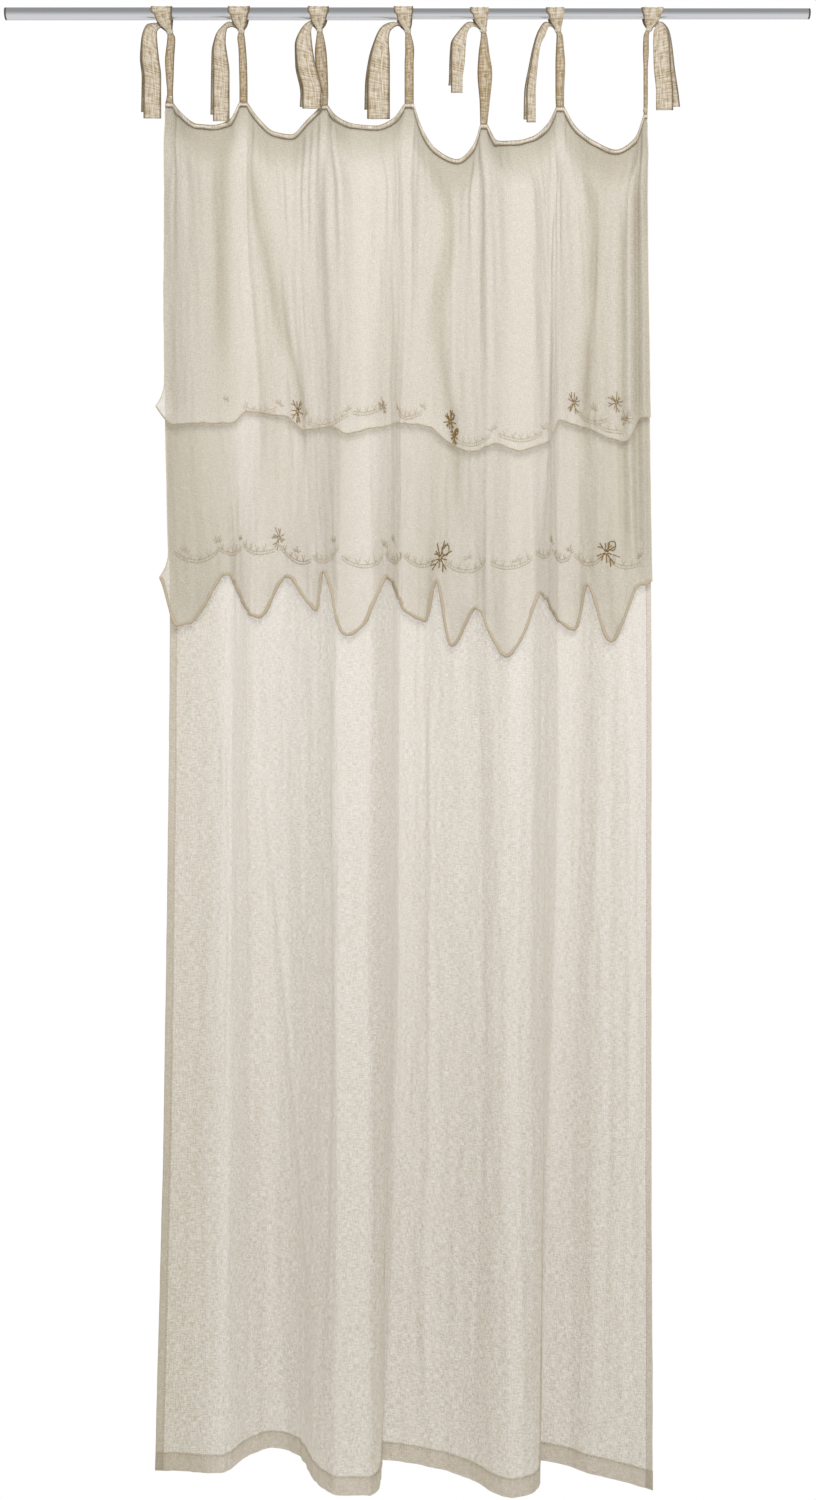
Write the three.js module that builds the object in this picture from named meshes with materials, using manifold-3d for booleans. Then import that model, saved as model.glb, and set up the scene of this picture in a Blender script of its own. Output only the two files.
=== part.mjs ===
// Tie-top curtain panel with two shorter valances, knotted onto a telescopic curtain rod.
// Millimetres, +Z up, +X to the right, and the front of the cloth faces -Y.
// The origin is on the rod's axis, half way between its two ends.
import * as THREE from "three";
import { mergeVertices } from "three/addons/utils/BufferGeometryUtils.js";
import Module from "manifold-3d";

const wasm = await Module();
wasm.setup();

// Curtain rod: a wide tube on the left, and a narrow one that slides out of it to the right.
const rodLength = 1424;
const wideTube = { outside: 21, bore: 18.6 };
const narrowTube = { outside: 18, bore: 15.6 };
const wideTubeEnd = -9;
const tubeOverlap = 70;
const capFace = 3;
const capPlug = 14;
const fitGap = 0.3;
const roundSteps = 28;

// Cloth: the cut width, the level of its hem, and the thickness of one sheet.
const clothWidth = 1400;
const hemLevel = -2577;
const sheetThickness = 1;

// The three layers lie this far in front of one another at the heading and lower down.
const headingStep = 2.2;
const hangingStep = 8.5;
const collarStart = 22;
const collarEnd = 80;

// The binding is a folded strip over the top edges of the three layers.
const bindingDrop = 8.5;
const bindingThickness = 1.1;
const bindingGap = 0.8;
const bindingTopGap = 1.9;
const steepestBinding = 2;

// The ties are ribbons, and each one stands on a short level peak of the heading.
const ribbonThickness = 1.2;
const strapThickness = 2;
const peakCut = 7;
const seamGap = 0.4;
const endsApart = 5;

// A tie goes round the rod as far as this turn to each side of its top. It keeps its width round the
// rod, and narrows below it, from a shoulder part of the way down, to a foot at the knot.
const wrap = {
  gap: 0.55,
  steps: 10,
  furthestTurn: 1.955,
  gatherFrom: 1.5,
  gatherTo: 3.1,
  shoulderDown: 0.45,
  shoulderPull: 0.4,
  footHalf: 4.5,
};
const knot = { across: 6.5, depth: 5, height: 6.5, rounds: 8, rings: 6 };
const strapPoints = 7;
const freeEndPoints = 9;

const levels = { shoulder: -329, valance: -719, waist: -1073, middle: -1745, hem: hemLevel };

// One row for each fold line, from the left side hem to the right one.
// cut is the distance along the flat cloth from its left edge.
// The other columns hold [place across, distance forward of the rod's axis] at each level.
const foldLines = [
  { cut: 0, shoulder: [-429, 0], valance: [-427, 0], waist: [-420, 0], middle: [-427, 0], hem: [-446, 0] },
  { cut: 114, shoulder: [-353, 30], valance: [-343, 22], waist: [-318, 30], middle: [-322, 24], hem: [-334, 14] },
  { cut: 217, shoulder: [-294, 8], valance: [-283, 12], waist: [-287, -15], middle: [-284, -38], hem: [-278, -67] },
  { cut: 256, shoulder: [-275, 0], valance: [-258, -2], waist: [-269, -30], middle: [-252, -62], hem: [-248, -92] },
  { cut: 320, shoulder: [-233, -28], valance: [-215, -24], waist: [-218, -22], middle: [-211, -45], hem: [-197, -55] },
  { cut: 427, shoulder: [-175, -16], valance: [-160, -6], waist: [-150, 25], middle: [-149, 35], hem: [-162, 45] },
  { cut: 505, shoulder: [-118, 24], valance: [-113, 36], waist: [-117, 62], middle: [-119, 85], hem: [-115, 106] },
  { cut: 555, shoulder: [-79, 36], valance: [-72, 42], waist: [-68, 60], middle: [-71, 85], hem: [-66, 106] },
  { cut: 603, shoulder: [-41, 26], valance: [-38, 18], waist: [-38, 20], middle: [-41, 38], hem: [-50, 61] },
  { cut: 707, shoulder: [1, -2], valance: [-1, -26], waist: [-10, -48], middle: [-13, -48], hem: [-47, -42] },
  { cut: 741, shoulder: [21, -12], valance: [19, -22], waist: [12, -46], middle: [8, -42], hem: [-15, -34] },
  { cut: 816, shoulder: [71, -24], valance: [70, -14], waist: [58, -20], middle: [54, -12], hem: [52, -2] },
  { cut: 893, shoulder: [118, -8], valance: [118, 10], waist: [119, 20], middle: [117, 32], hem: [112, 45] },
  { cut: 956, shoulder: [154, 20], valance: [157, 32], waist: [156, 55], middle: [153, 76], hem: [150, 95] },
  { cut: 990, shoulder: [181, 36], valance: [184, 44], waist: [181, 68], middle: [178, 90], hem: [178, 113] },
  { cut: 1034, shoulder: [211, 38], valance: [216, 40], waist: [215, 58], middle: [213, 76], hem: [216, 91] },
  { cut: 1083, shoulder: [238, 20], valance: [244, 12], waist: [238, 20], middle: [234, 32], hem: [229, 45] },
  { cut: 1171, shoulder: [274, -2], valance: [274, -22], waist: [279, -42], middle: [267, -44], hem: [237, -42] },
  { cut: 1217, shoulder: [307, -18], valance: [303, -28], waist: [307, -36], middle: [298, -32], hem: [278, -22] },
  { cut: 1277, shoulder: [343, -20], valance: [338, -6], waist: [341, 0], middle: [335, 8], hem: [321, 18] },
  { cut: 1352, shoulder: [394, -4], valance: [393, 10], waist: [397, 28], middle: [394, 42], hem: [384, 57] },
  { cut: 1400, shoulder: [422, 2], valance: [425, 14], waist: [426, 36], middle: [423, 58], hem: [422, 84] },
];

// One row for each tie, from left to right.
// peak: [cut, across, up, half width] where it is sewn on the heading; wrap: its left and right sides
// on the rod; knot: [across, up]; strap: rows of [up, left, right]; outer and inner: the long edges of
// its free ends as [across, up]; ends: how low the front and the back end reach; forward: how far the
// front end hangs before the rod's axis; spread: how far the back end drifts out at each point, 1 unless given.
const ties = [
  {
    peak: [7, -421, -162, 7],
    wrap: [-453, -416],
    knot: [-421, -32],
    strap: [[-44, -425, -411], [-83, -429, -413], [-115, -427, -414], [-140, -425, -415]],
    outer: [[-440, -16], [-460, -22], [-468, -50], [-469, -83], [-465, -115]],
    inner: [[-436, -24], [-442, -34], [-441, -52], [-438, -83], [-434, -115]],
    ends: [-190, -177],
    forward: 14,
  },
  {
    peak: [233, -290, -161, 7],
    wrap: [-317, -279],
    knot: [-294, -30],
    strap: [[-42, -301, -288], [-60, -299, -286], [-90, -298, -284], [-140, -297, -283]],
    outer: [[-315, -14], [-328, -29], [-336, -50], [-341, -76], [-341, -115]],
    inner: [[-311, -23], [-318, -33], [-319, -60], [-316, -83], [-312, -115]],
    ends: [-200, -187],
    forward: 28,
  },
  {
    peak: [467, -146, -166, 5],
    wrap: [-176, -139],
    knot: [-156, -28],
    strap: [[-40, -161, -148], [-70, -164, -143], [-105, -161, -141], [-145, -151, -140]],
    outer: [[-171, -13], [-190, -33], [-197, -60], [-195, -95], [-185, -145]],
    inner: [[-166, -21], [-170, -32], [-168, -57], [-163, -90], [-151, -145]],
    ends: [-173, -168],
    forward: 14,
  },
  {
    peak: [700, 3, -163, 8],
    wrap: [-24, 10],
    knot: [0, -30],
    strap: [[-42, -4, 8], [-65, -4, 12], [-90, -5, 11], [-145, -5, 11]],
    outer: [[-24, -14], [-44, -24], [-58, -54], [-66, -85], [-71, -130]],
    inner: [[-17, -21], [-31, -35], [-33, -54], [-31, -85], [-31, -130]],
    ends: [-191, -173],
    forward: 14,
  },
  {
    peak: [933, 135, -200, 6],
    wrap: [111, 143],
    knot: [134, -29],
    strap: [[-40, 130, 141], [-70, 126, 145], [-105, 124, 150], [-160, 128, 145]],
    outer: [[110, -14], [90, -34], [78, -58], [77, -90], [77, -125]],
    inner: [[116, -22], [106, -37], [103, -60], [101, -90], [97, -125]],
    ends: [-145, -130],
    forward: 14,
  },
  {
    peak: [1167, 270, -169, 7],
    wrap: [245, 277],
    knot: [266, -28],
    strap: [[-40, 264, 275], [-60, 263, 277], [-90, 262, 279], [-145, 262, 277]],
    outer: [[245, -14], [234, -28], [226, -52], [217, -97], [210, -145]],
    inner: [[252, -22], [243, -42], [235, -60], [229, -100], [226, -145]],
    ends: [-197, -190],
    forward: 14,
  },
  {
    peak: [1393, 421, -182, 3],
    wrap: [414, 452],
    knot: [428, -26],
    strap: [[-40, 418, 427], [-65, 417, 427], [-100, 418, 425], [-150, 418, 425]],
    outer: [[447, -14], [459, -30], [462, -60], [464, -100], [468, -145]],
    inner: [[441, -22], [435, -34], [433, -60], [434, -100], [438, -145]],
    ends: [-176, -168],
    forward: 14,
    spread: 2.6,
  },
];

// The heading sags between two ties; each row has four [across, up] points and how far it bows forward.
const scallops = [
  { edge: [[-399, -183], [-369, -208], [-341, -210], [-314, -197]], bow: 24 },
  { edge: [[-264, -185], [-237, -205], [-207, -210], [-178, -188]], bow: -22 },
  { edge: [[-125, -190], [-93, -209], [-56, -212], [-25, -194]], bow: 26 },
  { edge: [[24, -201], [51, -241], [88, -259], [118, -232]], bow: -8 },
  { edge: [[159, -234], [187, -239], [218, -232], [248, -202]], bow: 28 },
  { edge: [[298, -201], [331, -224], [370, -240], [403, -221]], bow: -14 },
];
const bowShare = [0.5, 1, 1, 0.5];

// Lower edge of the upper valance, a long uneven wave, as [cut, up].
const upperEdge = [
  [0, -698], [30, -732], [176, -732], [222, -710], [310, -710], [388, -738], [469, -738], [520, -754],
  [567, -745], [682, -724], [767, -730], [813, -756], [890, -781], [950, -771], [1000, -785],
  [1060, -770], [1130, -741], [1160, -719], [1234, -731], [1340, -762], [1372, -722], [1400, -720],
];

// Lower edge of the lower valance: its points and the notches between them in turn, as [cut, up].
const pointedEdge = [
  [0, -999], [24, -1085], [120, -995], [263, -1066], [326, -992], [410, -1056], [434, -990],
  [521, -1103], [612, -998], [773, -1072], [806, -1002], [843, -1120], [893, -1053], [978, -1141],
  [1063, -1030], [1203, -1086], [1240, -1009], [1300, -1111], [1363, -1015], [1400, -1010],
];
const stepsPerPoint = 4;
const pointSharpness = 0.35;

// The lower corners of the valances flick out to the left by this much, and the whole edge stands forward.
const cornerFlick = { across: 15, cut: 45, drop: 45 };
const edgeLift = 6;

// A smooth curve through the given heights, which never swings past them.
function smoothThrough(places, heights) {
  const last = places.length - 1;
  const rise = places.slice(1).map((place, i) => (heights[i + 1] - heights[i]) / (place - places[i]));
  const slope = heights.map((_, i) => {
    if (i === 0) return rise[0];
    if (i === last) return rise[last - 1];
    if (rise[i - 1] * rise[i] <= 0) return 0;
    return 2 / (1 / rise[i - 1] + 1 / rise[i]);
  });
  return (place) => {
    const next = Math.min(Math.max(places.findIndex((p) => p > place), 1), last);
    const i = place >= places[last] ? last - 1 : next - 1;
    const span = places[i + 1] - places[i];
    const t = THREE.MathUtils.clamp((place - places[i]) / span, 0, 1);
    const t2 = t * t;
    const t3 = t2 * t;
    return heights[i] * (2 * t3 - 3 * t2 + 1) + heights[i + 1] * (3 * t2 - 2 * t3)
      + span * (slope[i] * (t3 - 2 * t2 + t) + slope[i + 1] * (t3 - t2));
  };
}

// The top edge of the cloth: level peaks under the ties and sagging scallops between them.
const headingPoints = [];
ties.forEach((tie, i) => {
  const [cut, across, up, half] = tie.peak;
  headingPoints.push({ cut: cut - peakCut, across: across - half, up, out: 0 });
  headingPoints.push({ cut: cut + peakCut, across: across + half, up, out: 0 });
  if (i === ties.length - 1) return;
  const from = cut + peakCut;
  const to = ties[i + 1].peak[0] - peakCut;
  scallops[i].edge.forEach(([x, z], k) => {
    const share = (k + 1) / (bowShare.length + 1);
    const cut = from + share * (to - from);
    headingPoints.push({ cut, across: x, up: z, out: scallops[i].bow * bowShare[k] });
  });
});
const headingCuts = headingPoints.map((p) => p.cut);
const headingAcross = smoothThrough(headingCuts, headingPoints.map((p) => p.across));
const headingUp = smoothThrough(headingCuts, headingPoints.map((p) => p.up));
const headingOut = smoothThrough(headingCuts, headingPoints.map((p) => p.out));

// The folds at each level, as smooth curves along the cut width.
const foldCuts = foldLines.map((row) => row.cut);
const foldLevels = Object.entries(levels).map(([name, up]) => ({
  up,
  across: smoothThrough(foldCuts, foldLines.map((row) => row[name][0])),
  out: smoothThrough(foldCuts, foldLines.map((row) => row[name][1])),
}));

// One lengthwise thread of the cloth, from the heading to the hem. It starts straight down,
// because the binding stiffens the top of the cloth.
function hangingThread(cut) {
  const top = headingUp(cut);
  const drops = [-top, collarStart - top, ...foldLevels.map((level) => -level.up)];
  const place = (side, sides) => smoothThrough(drops, [side, side, ...sides]);
  const across = place(headingAcross(cut), foldLevels.map((level) => level.across(cut)));
  const out = place(headingOut(cut), foldLevels.map((level) => level.out(cut)));
  return { cut, top, at: (up) => [across(-up), out(-up)] };
}

// The threads that carry every layer, so that the layers stay parallel to one another.
const closestThreads = 10;
const threads = [];
[...headingCuts, ...foldCuts, clothWidth]
  .sort((a, b) => a - b)
  .forEach((cut) => {
    const isPeak = headingPoints.some((p) => p.cut === cut);
    const near = threads[threads.length - 1];
    if (near && cut - near.cut < (isPeak ? peakCut : closestThreads)) return;
    threads.push(hangingThread(cut));
  });

// Any other thread lies straight between its two neighbours.
function threadAt(cut) {
  const exact = threads.find((thread) => Math.abs(thread.cut - cut) < 1e-6);
  if (exact) return exact;
  const next = threads.findIndex((thread) => thread.cut > cut);
  const [a, b] = [threads[next - 1], threads[next]];
  const share = (cut - a.cut) / (b.cut - a.cut);
  const mix = (p, q) => p + (q - p) * share;
  const top = mix(a.top, b.top);
  return {
    cut,
    top,
    at: (up) => {
      const fromA = a.at(a.top + (up - top));
      const fromB = b.at(b.top + (up - top));
      return [mix(fromA[0], fromB[0]), mix(fromA[1], fromB[1])];
    },
  };
}

// How far a layer lies in front of the main panel, at a given drop below the heading.
function layerOut(layer, drop) {
  const share = THREE.MathUtils.smoothstep(drop, collarStart, collarEnd);
  return layer * THREE.MathUtils.lerp(headingStep, hangingStep, share);
}

function bodyFrom(positions, triangles) {
  const geometry = new THREE.BufferGeometry();
  geometry.setAttribute("position", new THREE.Float32BufferAttribute(positions, 3));
  geometry.setIndex(triangles);
  return geometry;
}

// A closed body through a row of like cross-sections; caps are the triangles that close its two ends.
function loftedBody(sections, caps) {
  const corners = sections[0].length;
  const last = (sections.length - 1) * corners;
  const positions = sections.flat().flatMap((p) => [p.x, p.y, p.z]);
  const triangles = [];
  for (let start = 0; start < last; start += corners) {
    for (let k = 0; k < corners; k += 1) {
      const next = (k + 1) % corners;
      const [a, b, c, d] = [start + k, start + next, start + corners + next, start + corners + k];
      triangles.push(a, b, c, a, c, d);
    }
  }
  caps.forEach(([a, b, c]) => triangles.push(a, c, b, last + a, last + b, last + c));
  return bodyFrom(positions, triangles);
}

// A thin closed sheet from a grid of middle points, thickened level by level across its folds.
function sheetBody(grid, thickness) {
  const columns = grid.length;
  const rows = grid[0].length;
  const across = new THREE.Vector3();
  const positions = [];
  [0.5, -0.5].forEach((side) => {
    grid.forEach((column, i) => {
      column.forEach((point, j) => {
        across.subVectors(grid[Math.min(i + 1, columns - 1)][j], grid[Math.max(i - 1, 0)][j]);
        const length = Math.hypot(across.x, across.y);
        const reach = (side * thickness) / length;
        positions.push(point.x + across.y * reach, point.y - across.x * reach, point.z);
      });
    });
  });
  const back = columns * rows;
  const at = (i, j) => i * rows + j;
  const triangles = [];
  const quad = (a, b, c, d) => triangles.push(a, b, c, a, c, d);
  for (let i = 0; i + 1 < columns; i += 1) {
    for (let j = 0; j + 1 < rows; j += 1) {
      quad(at(i, j), at(i, j + 1), at(i + 1, j + 1), at(i + 1, j));
      quad(back + at(i, j), back + at(i + 1, j), back + at(i + 1, j + 1), back + at(i, j + 1));
    }
    quad(at(i, 0), at(i + 1, 0), back + at(i + 1, 0), back + at(i, 0));
    quad(at(i + 1, rows - 1), at(i, rows - 1), back + at(i, rows - 1), back + at(i + 1, rows - 1));
  }
  for (let j = 0; j + 1 < rows; j += 1) {
    quad(at(0, j + 1), at(0, j), back + at(0, j), back + at(0, j + 1));
    const [low, high] = [at(columns - 1, j), at(columns - 1, j + 1)];
    quad(low, high, back + high, back + low);
  }
  return bodyFrom(positions, triangles);
}

// A hung layer: every thread from the heading down to the layer's own lower edge.
const collarRows = [0, collarStart, 45, collarEnd];
function hungLayer({ layer, cuts, lowerEdge, rows, flick = 0, lift = 0 }) {
  const grid = cuts.map((cut) => {
    const thread = threadAt(cut);
    const bottom = lowerEdge(cut);
    const ups = collarRows.map((drop) => thread.top - drop);
    const start = ups[ups.length - 1];
    for (let j = 1; j <= rows; j += 1) ups.push(start + ((bottom - start) * j) / rows);
    return ups.map((up) => {
      const [x, out] = thread.at(up);
      const corner = 1 - THREE.MathUtils.smoothstep(cut, 0, cornerFlick.cut);
      const nearEdge = 1 - THREE.MathUtils.clamp((up - bottom) / cornerFlick.drop, 0, 1);
      const forward = out + layerOut(layer, thread.top - up) + lift * nearEdge ** 2;
      return new THREE.Vector3(x - flick * corner * nearEdge ** 2, -forward, up);
    });
  });
  return sheetBody(grid, sheetThickness);
}

const threadCuts = threads.map((thread) => thread.cut);
const closestExtra = 6;

function withExtraCuts(extra) {
  const all = [...threadCuts];
  extra.forEach((cut) => {
    if (all.every((other) => Math.abs(other - cut) > closestExtra)) all.push(cut);
  });
  return all.sort((a, b) => a - b);
}

const mainPanel = () => hungLayer({ layer: 0, cuts: threadCuts, lowerEdge: () => hemLevel, rows: 11 });

function upperValance() {
  const lowerEdge = smoothThrough(upperEdge.map((p) => p[0]), upperEdge.map((p) => p[1]));
  const cuts = withExtraCuts([18, ...upperEdge.map((p) => p[0])]);
  return hungLayer({ layer: 2, cuts, lowerEdge, rows: 4, flick: cornerFlick.across, lift: edgeLift });
}

// The lower valance ends in soft points: each side runs down from a notch and rounds off at the tip.
function pointedUp(cut) {
  const next = Math.min(Math.max(pointedEdge.findIndex((p) => p[0] > cut), 1), pointedEdge.length - 1);
  const [fromCut, fromUp] = pointedEdge[next - 1];
  const [toCut, toUp] = pointedEdge[next];
  const share = THREE.MathUtils.clamp((cut - fromCut) / (toCut - fromCut), 0, 1);
  const eased = (1 - Math.cos(Math.PI * share)) / 2;
  return fromUp + (toUp - fromUp) * THREE.MathUtils.lerp(eased, share, pointSharpness);
}

function lowerValance() {
  const extra = [];
  pointedEdge.forEach(([cut], i) => {
    extra.push(cut);
    if (i + 1 === pointedEdge.length) return;
    const span = pointedEdge[i + 1][0] - cut;
    for (let k = 1; k < stepsPerPoint; k += 1) extra.push(cut + (span * k) / stepsPerPoint);
  });
  const cuts = withExtraCuts(extra);
  return hungLayer({
    layer: 1,
    cuts,
    lowerEdge: pointedUp,
    rows: 5,
    flick: cornerFlick.across,
    lift: edgeLift,
  });
}

// The binding is one strip folded over the top edges, with a leg in front and a leg behind.
function headingBinding() {
  const frontStack = 2 * headingStep + sheetThickness / 2 + bindingGap;
  const backStack = -sheetThickness / 2 - bindingGap;
  const roof = bindingTopGap + bindingThickness;
  const sections = threads.map((thread, i) => {
    const before = threads[Math.max(i - 1, 0)];
    const after = threads[Math.min(i + 1, threads.length - 1)];
    const run = headingAcross(after.cut) - headingAcross(before.cut);
    const steepness = Math.hypot(1, (after.top - before.top) / run);
    const leg = -bindingDrop * Math.min(steepness, steepestBinding);
    const profile = [
      [backStack - bindingThickness, roof],
      [frontStack + bindingThickness, roof],
      [frontStack + bindingThickness, leg],
      [frontStack, leg],
      [frontStack, bindingTopGap],
      [backStack, bindingTopGap],
      [backStack, leg],
      [backStack - bindingThickness, leg],
    ];
    const [x, out] = thread.at(thread.top);
    return profile.map(([forward, rise]) => new THREE.Vector3(x, -(out + forward), thread.top + rise));
  });
  return loftedBody(sections, [[0, 1, 4], [0, 4, 5], [1, 2, 3], [1, 3, 4], [0, 5, 6], [0, 6, 7]]);
}

// A ribbon between two edge lines, given its thickness across its face.
function ribbonBody(left, right, thickness) {
  const last = left.length - 1;
  const middle = left.map((point, i) => new THREE.Vector3().lerpVectors(point, right[i], 0.5));
  const along = new THREE.Vector3();
  const width = new THREE.Vector3();
  const face = new THREE.Vector3();
  const sections = middle.map((_, i) => {
    along.subVectors(middle[Math.min(i + 1, last)], middle[Math.max(i - 1, 0)]);
    width.subVectors(right[i], left[i]);
    face.crossVectors(width, along).setLength(thickness / 2);
    return [
      left[i].clone().add(face), right[i].clone().add(face),
      right[i].clone().sub(face), left[i].clone().sub(face),
    ];
  });
  return loftedBody(sections, [[0, 1, 2], [0, 2, 3]]);
}

function solidOf(geometry) {
  const plain = geometry.clone();
  plain.deleteAttribute("normal");
  plain.deleteAttribute("uv");
  const merged = mergeVertices(plain, 1e-4);
  return new wasm.Manifold(new wasm.Mesh({
    numProp: 3,
    vertProperties: new Float32Array(merged.attributes.position.array),
    triVerts: new Uint32Array(merged.index.array),
  }));
}

// Several bodies made one. Only the outer skin is kept, so the inside of the knot is filled.
function joined(geometries) {
  const solid = geometries.map(solidOf).reduce((all, one) => all.add(one));
  const skin = solid.decompose().reduce((most, one) => (one.volume() > most.volume() ? one : most));
  const mesh = skin.getMesh();
  return bodyFrom(Array.from(mesh.vertProperties), Array.from(mesh.triVerts));
}

const sampled = (points, steps) => new THREE.CatmullRomCurve3(points, false, "centripetal").getPoints(steps);

// The part of a tie that goes over the rod: up behind it, over its top and down in front to the knot.
function rodWrap(tie, radius) {
  const around = radius + wrap.gap + ribbonThickness;
  const [left, right] = tie.wrap;
  const [knotX, knotUp] = tie.knot;
  const turns = [];
  for (let i = 0; i <= wrap.steps; i += 1) turns.push(wrap.furthestTurn * ((2 * i) / wrap.steps - 1));
  const edge = (side, footX) => {
    const line = turns.map((turn) => {
      const pull = THREE.MathUtils.smoothstep(Math.abs(turn), wrap.gatherFrom, wrap.gatherTo);
      const x = THREE.MathUtils.lerp(side, footX, pull);
      return new THREE.Vector3(x, -around * Math.sin(turn), around * Math.cos(turn));
    });
    const foot = (back) => new THREE.Vector3(footX, back, knotUp);
    const shoulder = (end, low) => end.clone().lerp(low, wrap.shoulderDown)
      .setX(THREE.MathUtils.lerp(side, footX, wrap.shoulderPull));
    const [behind, infront] = [foot(strapThickness), foot(-strapThickness)];
    return [behind, shoulder(line[0], behind), ...line, shoulder(line[wrap.steps], infront), infront];
  };
  return ribbonBody(
    edge(left, knotX - wrap.footHalf),
    edge(right, knotX + wrap.footHalf),
    2 * ribbonThickness,
  );
}

// A tie: a ribbon sewn to the heading, taken over the rod and knotted, with two loose ends.
function tieBody(tie) {
  const [, peakX, peakUp, half] = tie.peak;
  const [knotX, knotUp] = tie.knot;
  const radius = (tie.wrap[0] < wideTubeEnd ? wideTube : narrowTube).outside / 2;
  const foot = peakUp + bindingTopGap + bindingThickness + seamGap;
  const stack = -headingStep;

  const inKnot = knot.across / 2;
  const strapRows = [
    [knotUp + strapThickness, knotX - inKnot, knotX + inKnot],
    ...tie.strap,
    [foot, peakX - half, peakX + half],
  ];
  const strapEdge = (column) => strapRows.map((row, i) => {
    const share = i / (strapRows.length - 1);
    return new THREE.Vector3(row[column], stack * share, row[0]);
  });
  const strap = ribbonBody(
    sampled(strapEdge(1), strapPoints),
    sampled(strapEdge(2), strapPoints),
    strapThickness,
  );

  // The free ends start in the knot, arch over beside it and hang a few millimetres in front.
  const freeEnd = (end, forward, shift) => {
    const line = (points, startUp) => {
      const hang = points.map(([x, z], i) => new THREE.Vector3(
        x + shift * i, -forward * Math.min(i / 2, 1), z));
      const [lastX] = points[points.length - 1];
      hang.unshift(new THREE.Vector3(knotX, 0, startUp));
      hang.push(new THREE.Vector3(lastX + shift * points.length, -forward, end));
      return sampled(hang, freeEndPoints);
    };
    return ribbonBody(
      line(tie.outer, knotUp + knot.depth),
      line(tie.inner, knotUp),
      ribbonThickness,
    );
  };
  const away = Math.sign(tie.outer[4][0] - knotX);
  const knotBody = new THREE.SphereGeometry(1, knot.rounds, knot.rings);
  knotBody.scale(knot.across, knot.depth, knot.height);
  knotBody.translate(knotX, 0, knotUp);
  return joined([
    rodWrap(tie, radius),
    strap,
    knotBody,
    freeEnd(tie.ends[0], tie.forward, 0),
    freeEnd(tie.ends[1], tie.forward - endsApart, away * (tie.spread ?? 1)),
  ]);
}

// A length of tube along X, turned as one closed wall.
function tubeBody({ outside, bore }, from, to) {
  const wall = [
    [bore / 2, from], [outside / 2, from], [outside / 2, to], [bore / 2, to], [bore / 2, from],
  ].map(([r, along]) => new THREE.Vector2(r, along));
  const geometry = new THREE.LatheGeometry(wall, roundSteps);
  geometry.rotateZ(-Math.PI / 2);
  return geometry;
}

// An end cap: a thin round face and a plug inside the tube. It points to +X and is turned for the left.
function capBody({ outside, bore }) {
  const plug = bore / 2 - fitGap;
  const tubeEnd = rodLength / 2 - capFace;
  const outline = [
    [0, tubeEnd - capPlug], [plug, tubeEnd - capPlug], [plug, tubeEnd + fitGap],
    [outside / 2, tubeEnd + fitGap], [outside / 2, rodLength / 2], [0, rodLength / 2],
  ].map(([r, along]) => new THREE.Vector2(r, along));
  const geometry = new THREE.LatheGeometry(outline, roundSteps);
  geometry.rotateZ(-Math.PI / 2);
  return geometry;
}

const linen = new THREE.MeshStandardMaterial({ color: "#ddd6c9", roughness: 0.95, metalness: 0 });
const linenTape = new THREE.MeshStandardMaterial({ color: "#b5a68b", roughness: 0.95, metalness: 0 });
const satinSteel = new THREE.MeshStandardMaterial({ color: "#c9cacc", roughness: 0.3, metalness: 1 });
const darkPlastic = new THREE.MeshStandardMaterial({ color: "#4a4a4c", roughness: 0.5, metalness: 0 });

const curtain = new THREE.Group();

function add(name, geometry, material) {
  const plain = geometry.clone();
  plain.deleteAttribute("normal");
  plain.deleteAttribute("uv");
  const mesh = new THREE.Mesh(mergeVertices(plain, 1e-4), material);
  mesh.name = name;
  curtain.add(mesh);
  return mesh;
}

add("rod_wide_tube", tubeBody(wideTube, -rodLength / 2 + capFace, wideTubeEnd), satinSteel);
add("rod_narrow_tube", tubeBody(narrowTube, wideTubeEnd - tubeOverlap, rodLength / 2 - capFace), satinSteel);
add("rod_cap_right", capBody(narrowTube), darkPlastic);
add("rod_cap_left", capBody(wideTube), darkPlastic).rotation.z = Math.PI;
add("main_panel", mainPanel(), linen);
add("lower_valance", lowerValance(), linen);
add("upper_valance", upperValance(), linen);
add("heading_binding", headingBinding(), linenTape);
ties.forEach((tie, i) => add(`tie_${i + 1}`, tieBody(tie), linenTape));

export default curtain;
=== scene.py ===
# Tie-top curtain panel of sheer linen gauze with two shorter valances, knotted onto a telescopic rod.
# The shape tables are in millimetres, as in the part's source, and every piece is made in metres.
import math
import random

import bmesh
import bpy
import numpy as np
from mathutils import Matrix, Vector


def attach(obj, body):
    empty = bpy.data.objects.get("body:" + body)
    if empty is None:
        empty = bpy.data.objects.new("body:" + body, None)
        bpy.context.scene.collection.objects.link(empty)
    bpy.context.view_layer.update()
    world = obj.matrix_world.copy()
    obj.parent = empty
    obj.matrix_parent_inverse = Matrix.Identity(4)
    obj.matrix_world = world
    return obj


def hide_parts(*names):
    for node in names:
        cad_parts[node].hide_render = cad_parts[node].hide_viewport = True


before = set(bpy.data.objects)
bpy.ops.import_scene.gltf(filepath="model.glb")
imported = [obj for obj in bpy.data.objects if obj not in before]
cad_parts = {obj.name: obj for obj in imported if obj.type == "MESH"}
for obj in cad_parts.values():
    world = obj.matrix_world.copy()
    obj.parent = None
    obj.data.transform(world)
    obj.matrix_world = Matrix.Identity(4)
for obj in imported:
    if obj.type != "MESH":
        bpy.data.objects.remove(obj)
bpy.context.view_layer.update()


# Camera. It stands level and square on, three metres in front of the rod.
# The picture is 816 x 1500 pixels, and its long side takes in 2.655 m at the rod.
CAMERA_DISTANCE = 3.0
CAMERA_ASIDE = 0.001
CAMERA_HEIGHT = -1.303
PICTURE_HEIGHT = 2.655
FILM_WIDTH = 36.0


def placed(name, data):
    """One object in the scene that holds this camera, light or mesh."""
    thing = bpy.data.objects.new(name, data)
    bpy.context.collection.objects.link(thing)
    return thing


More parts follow.
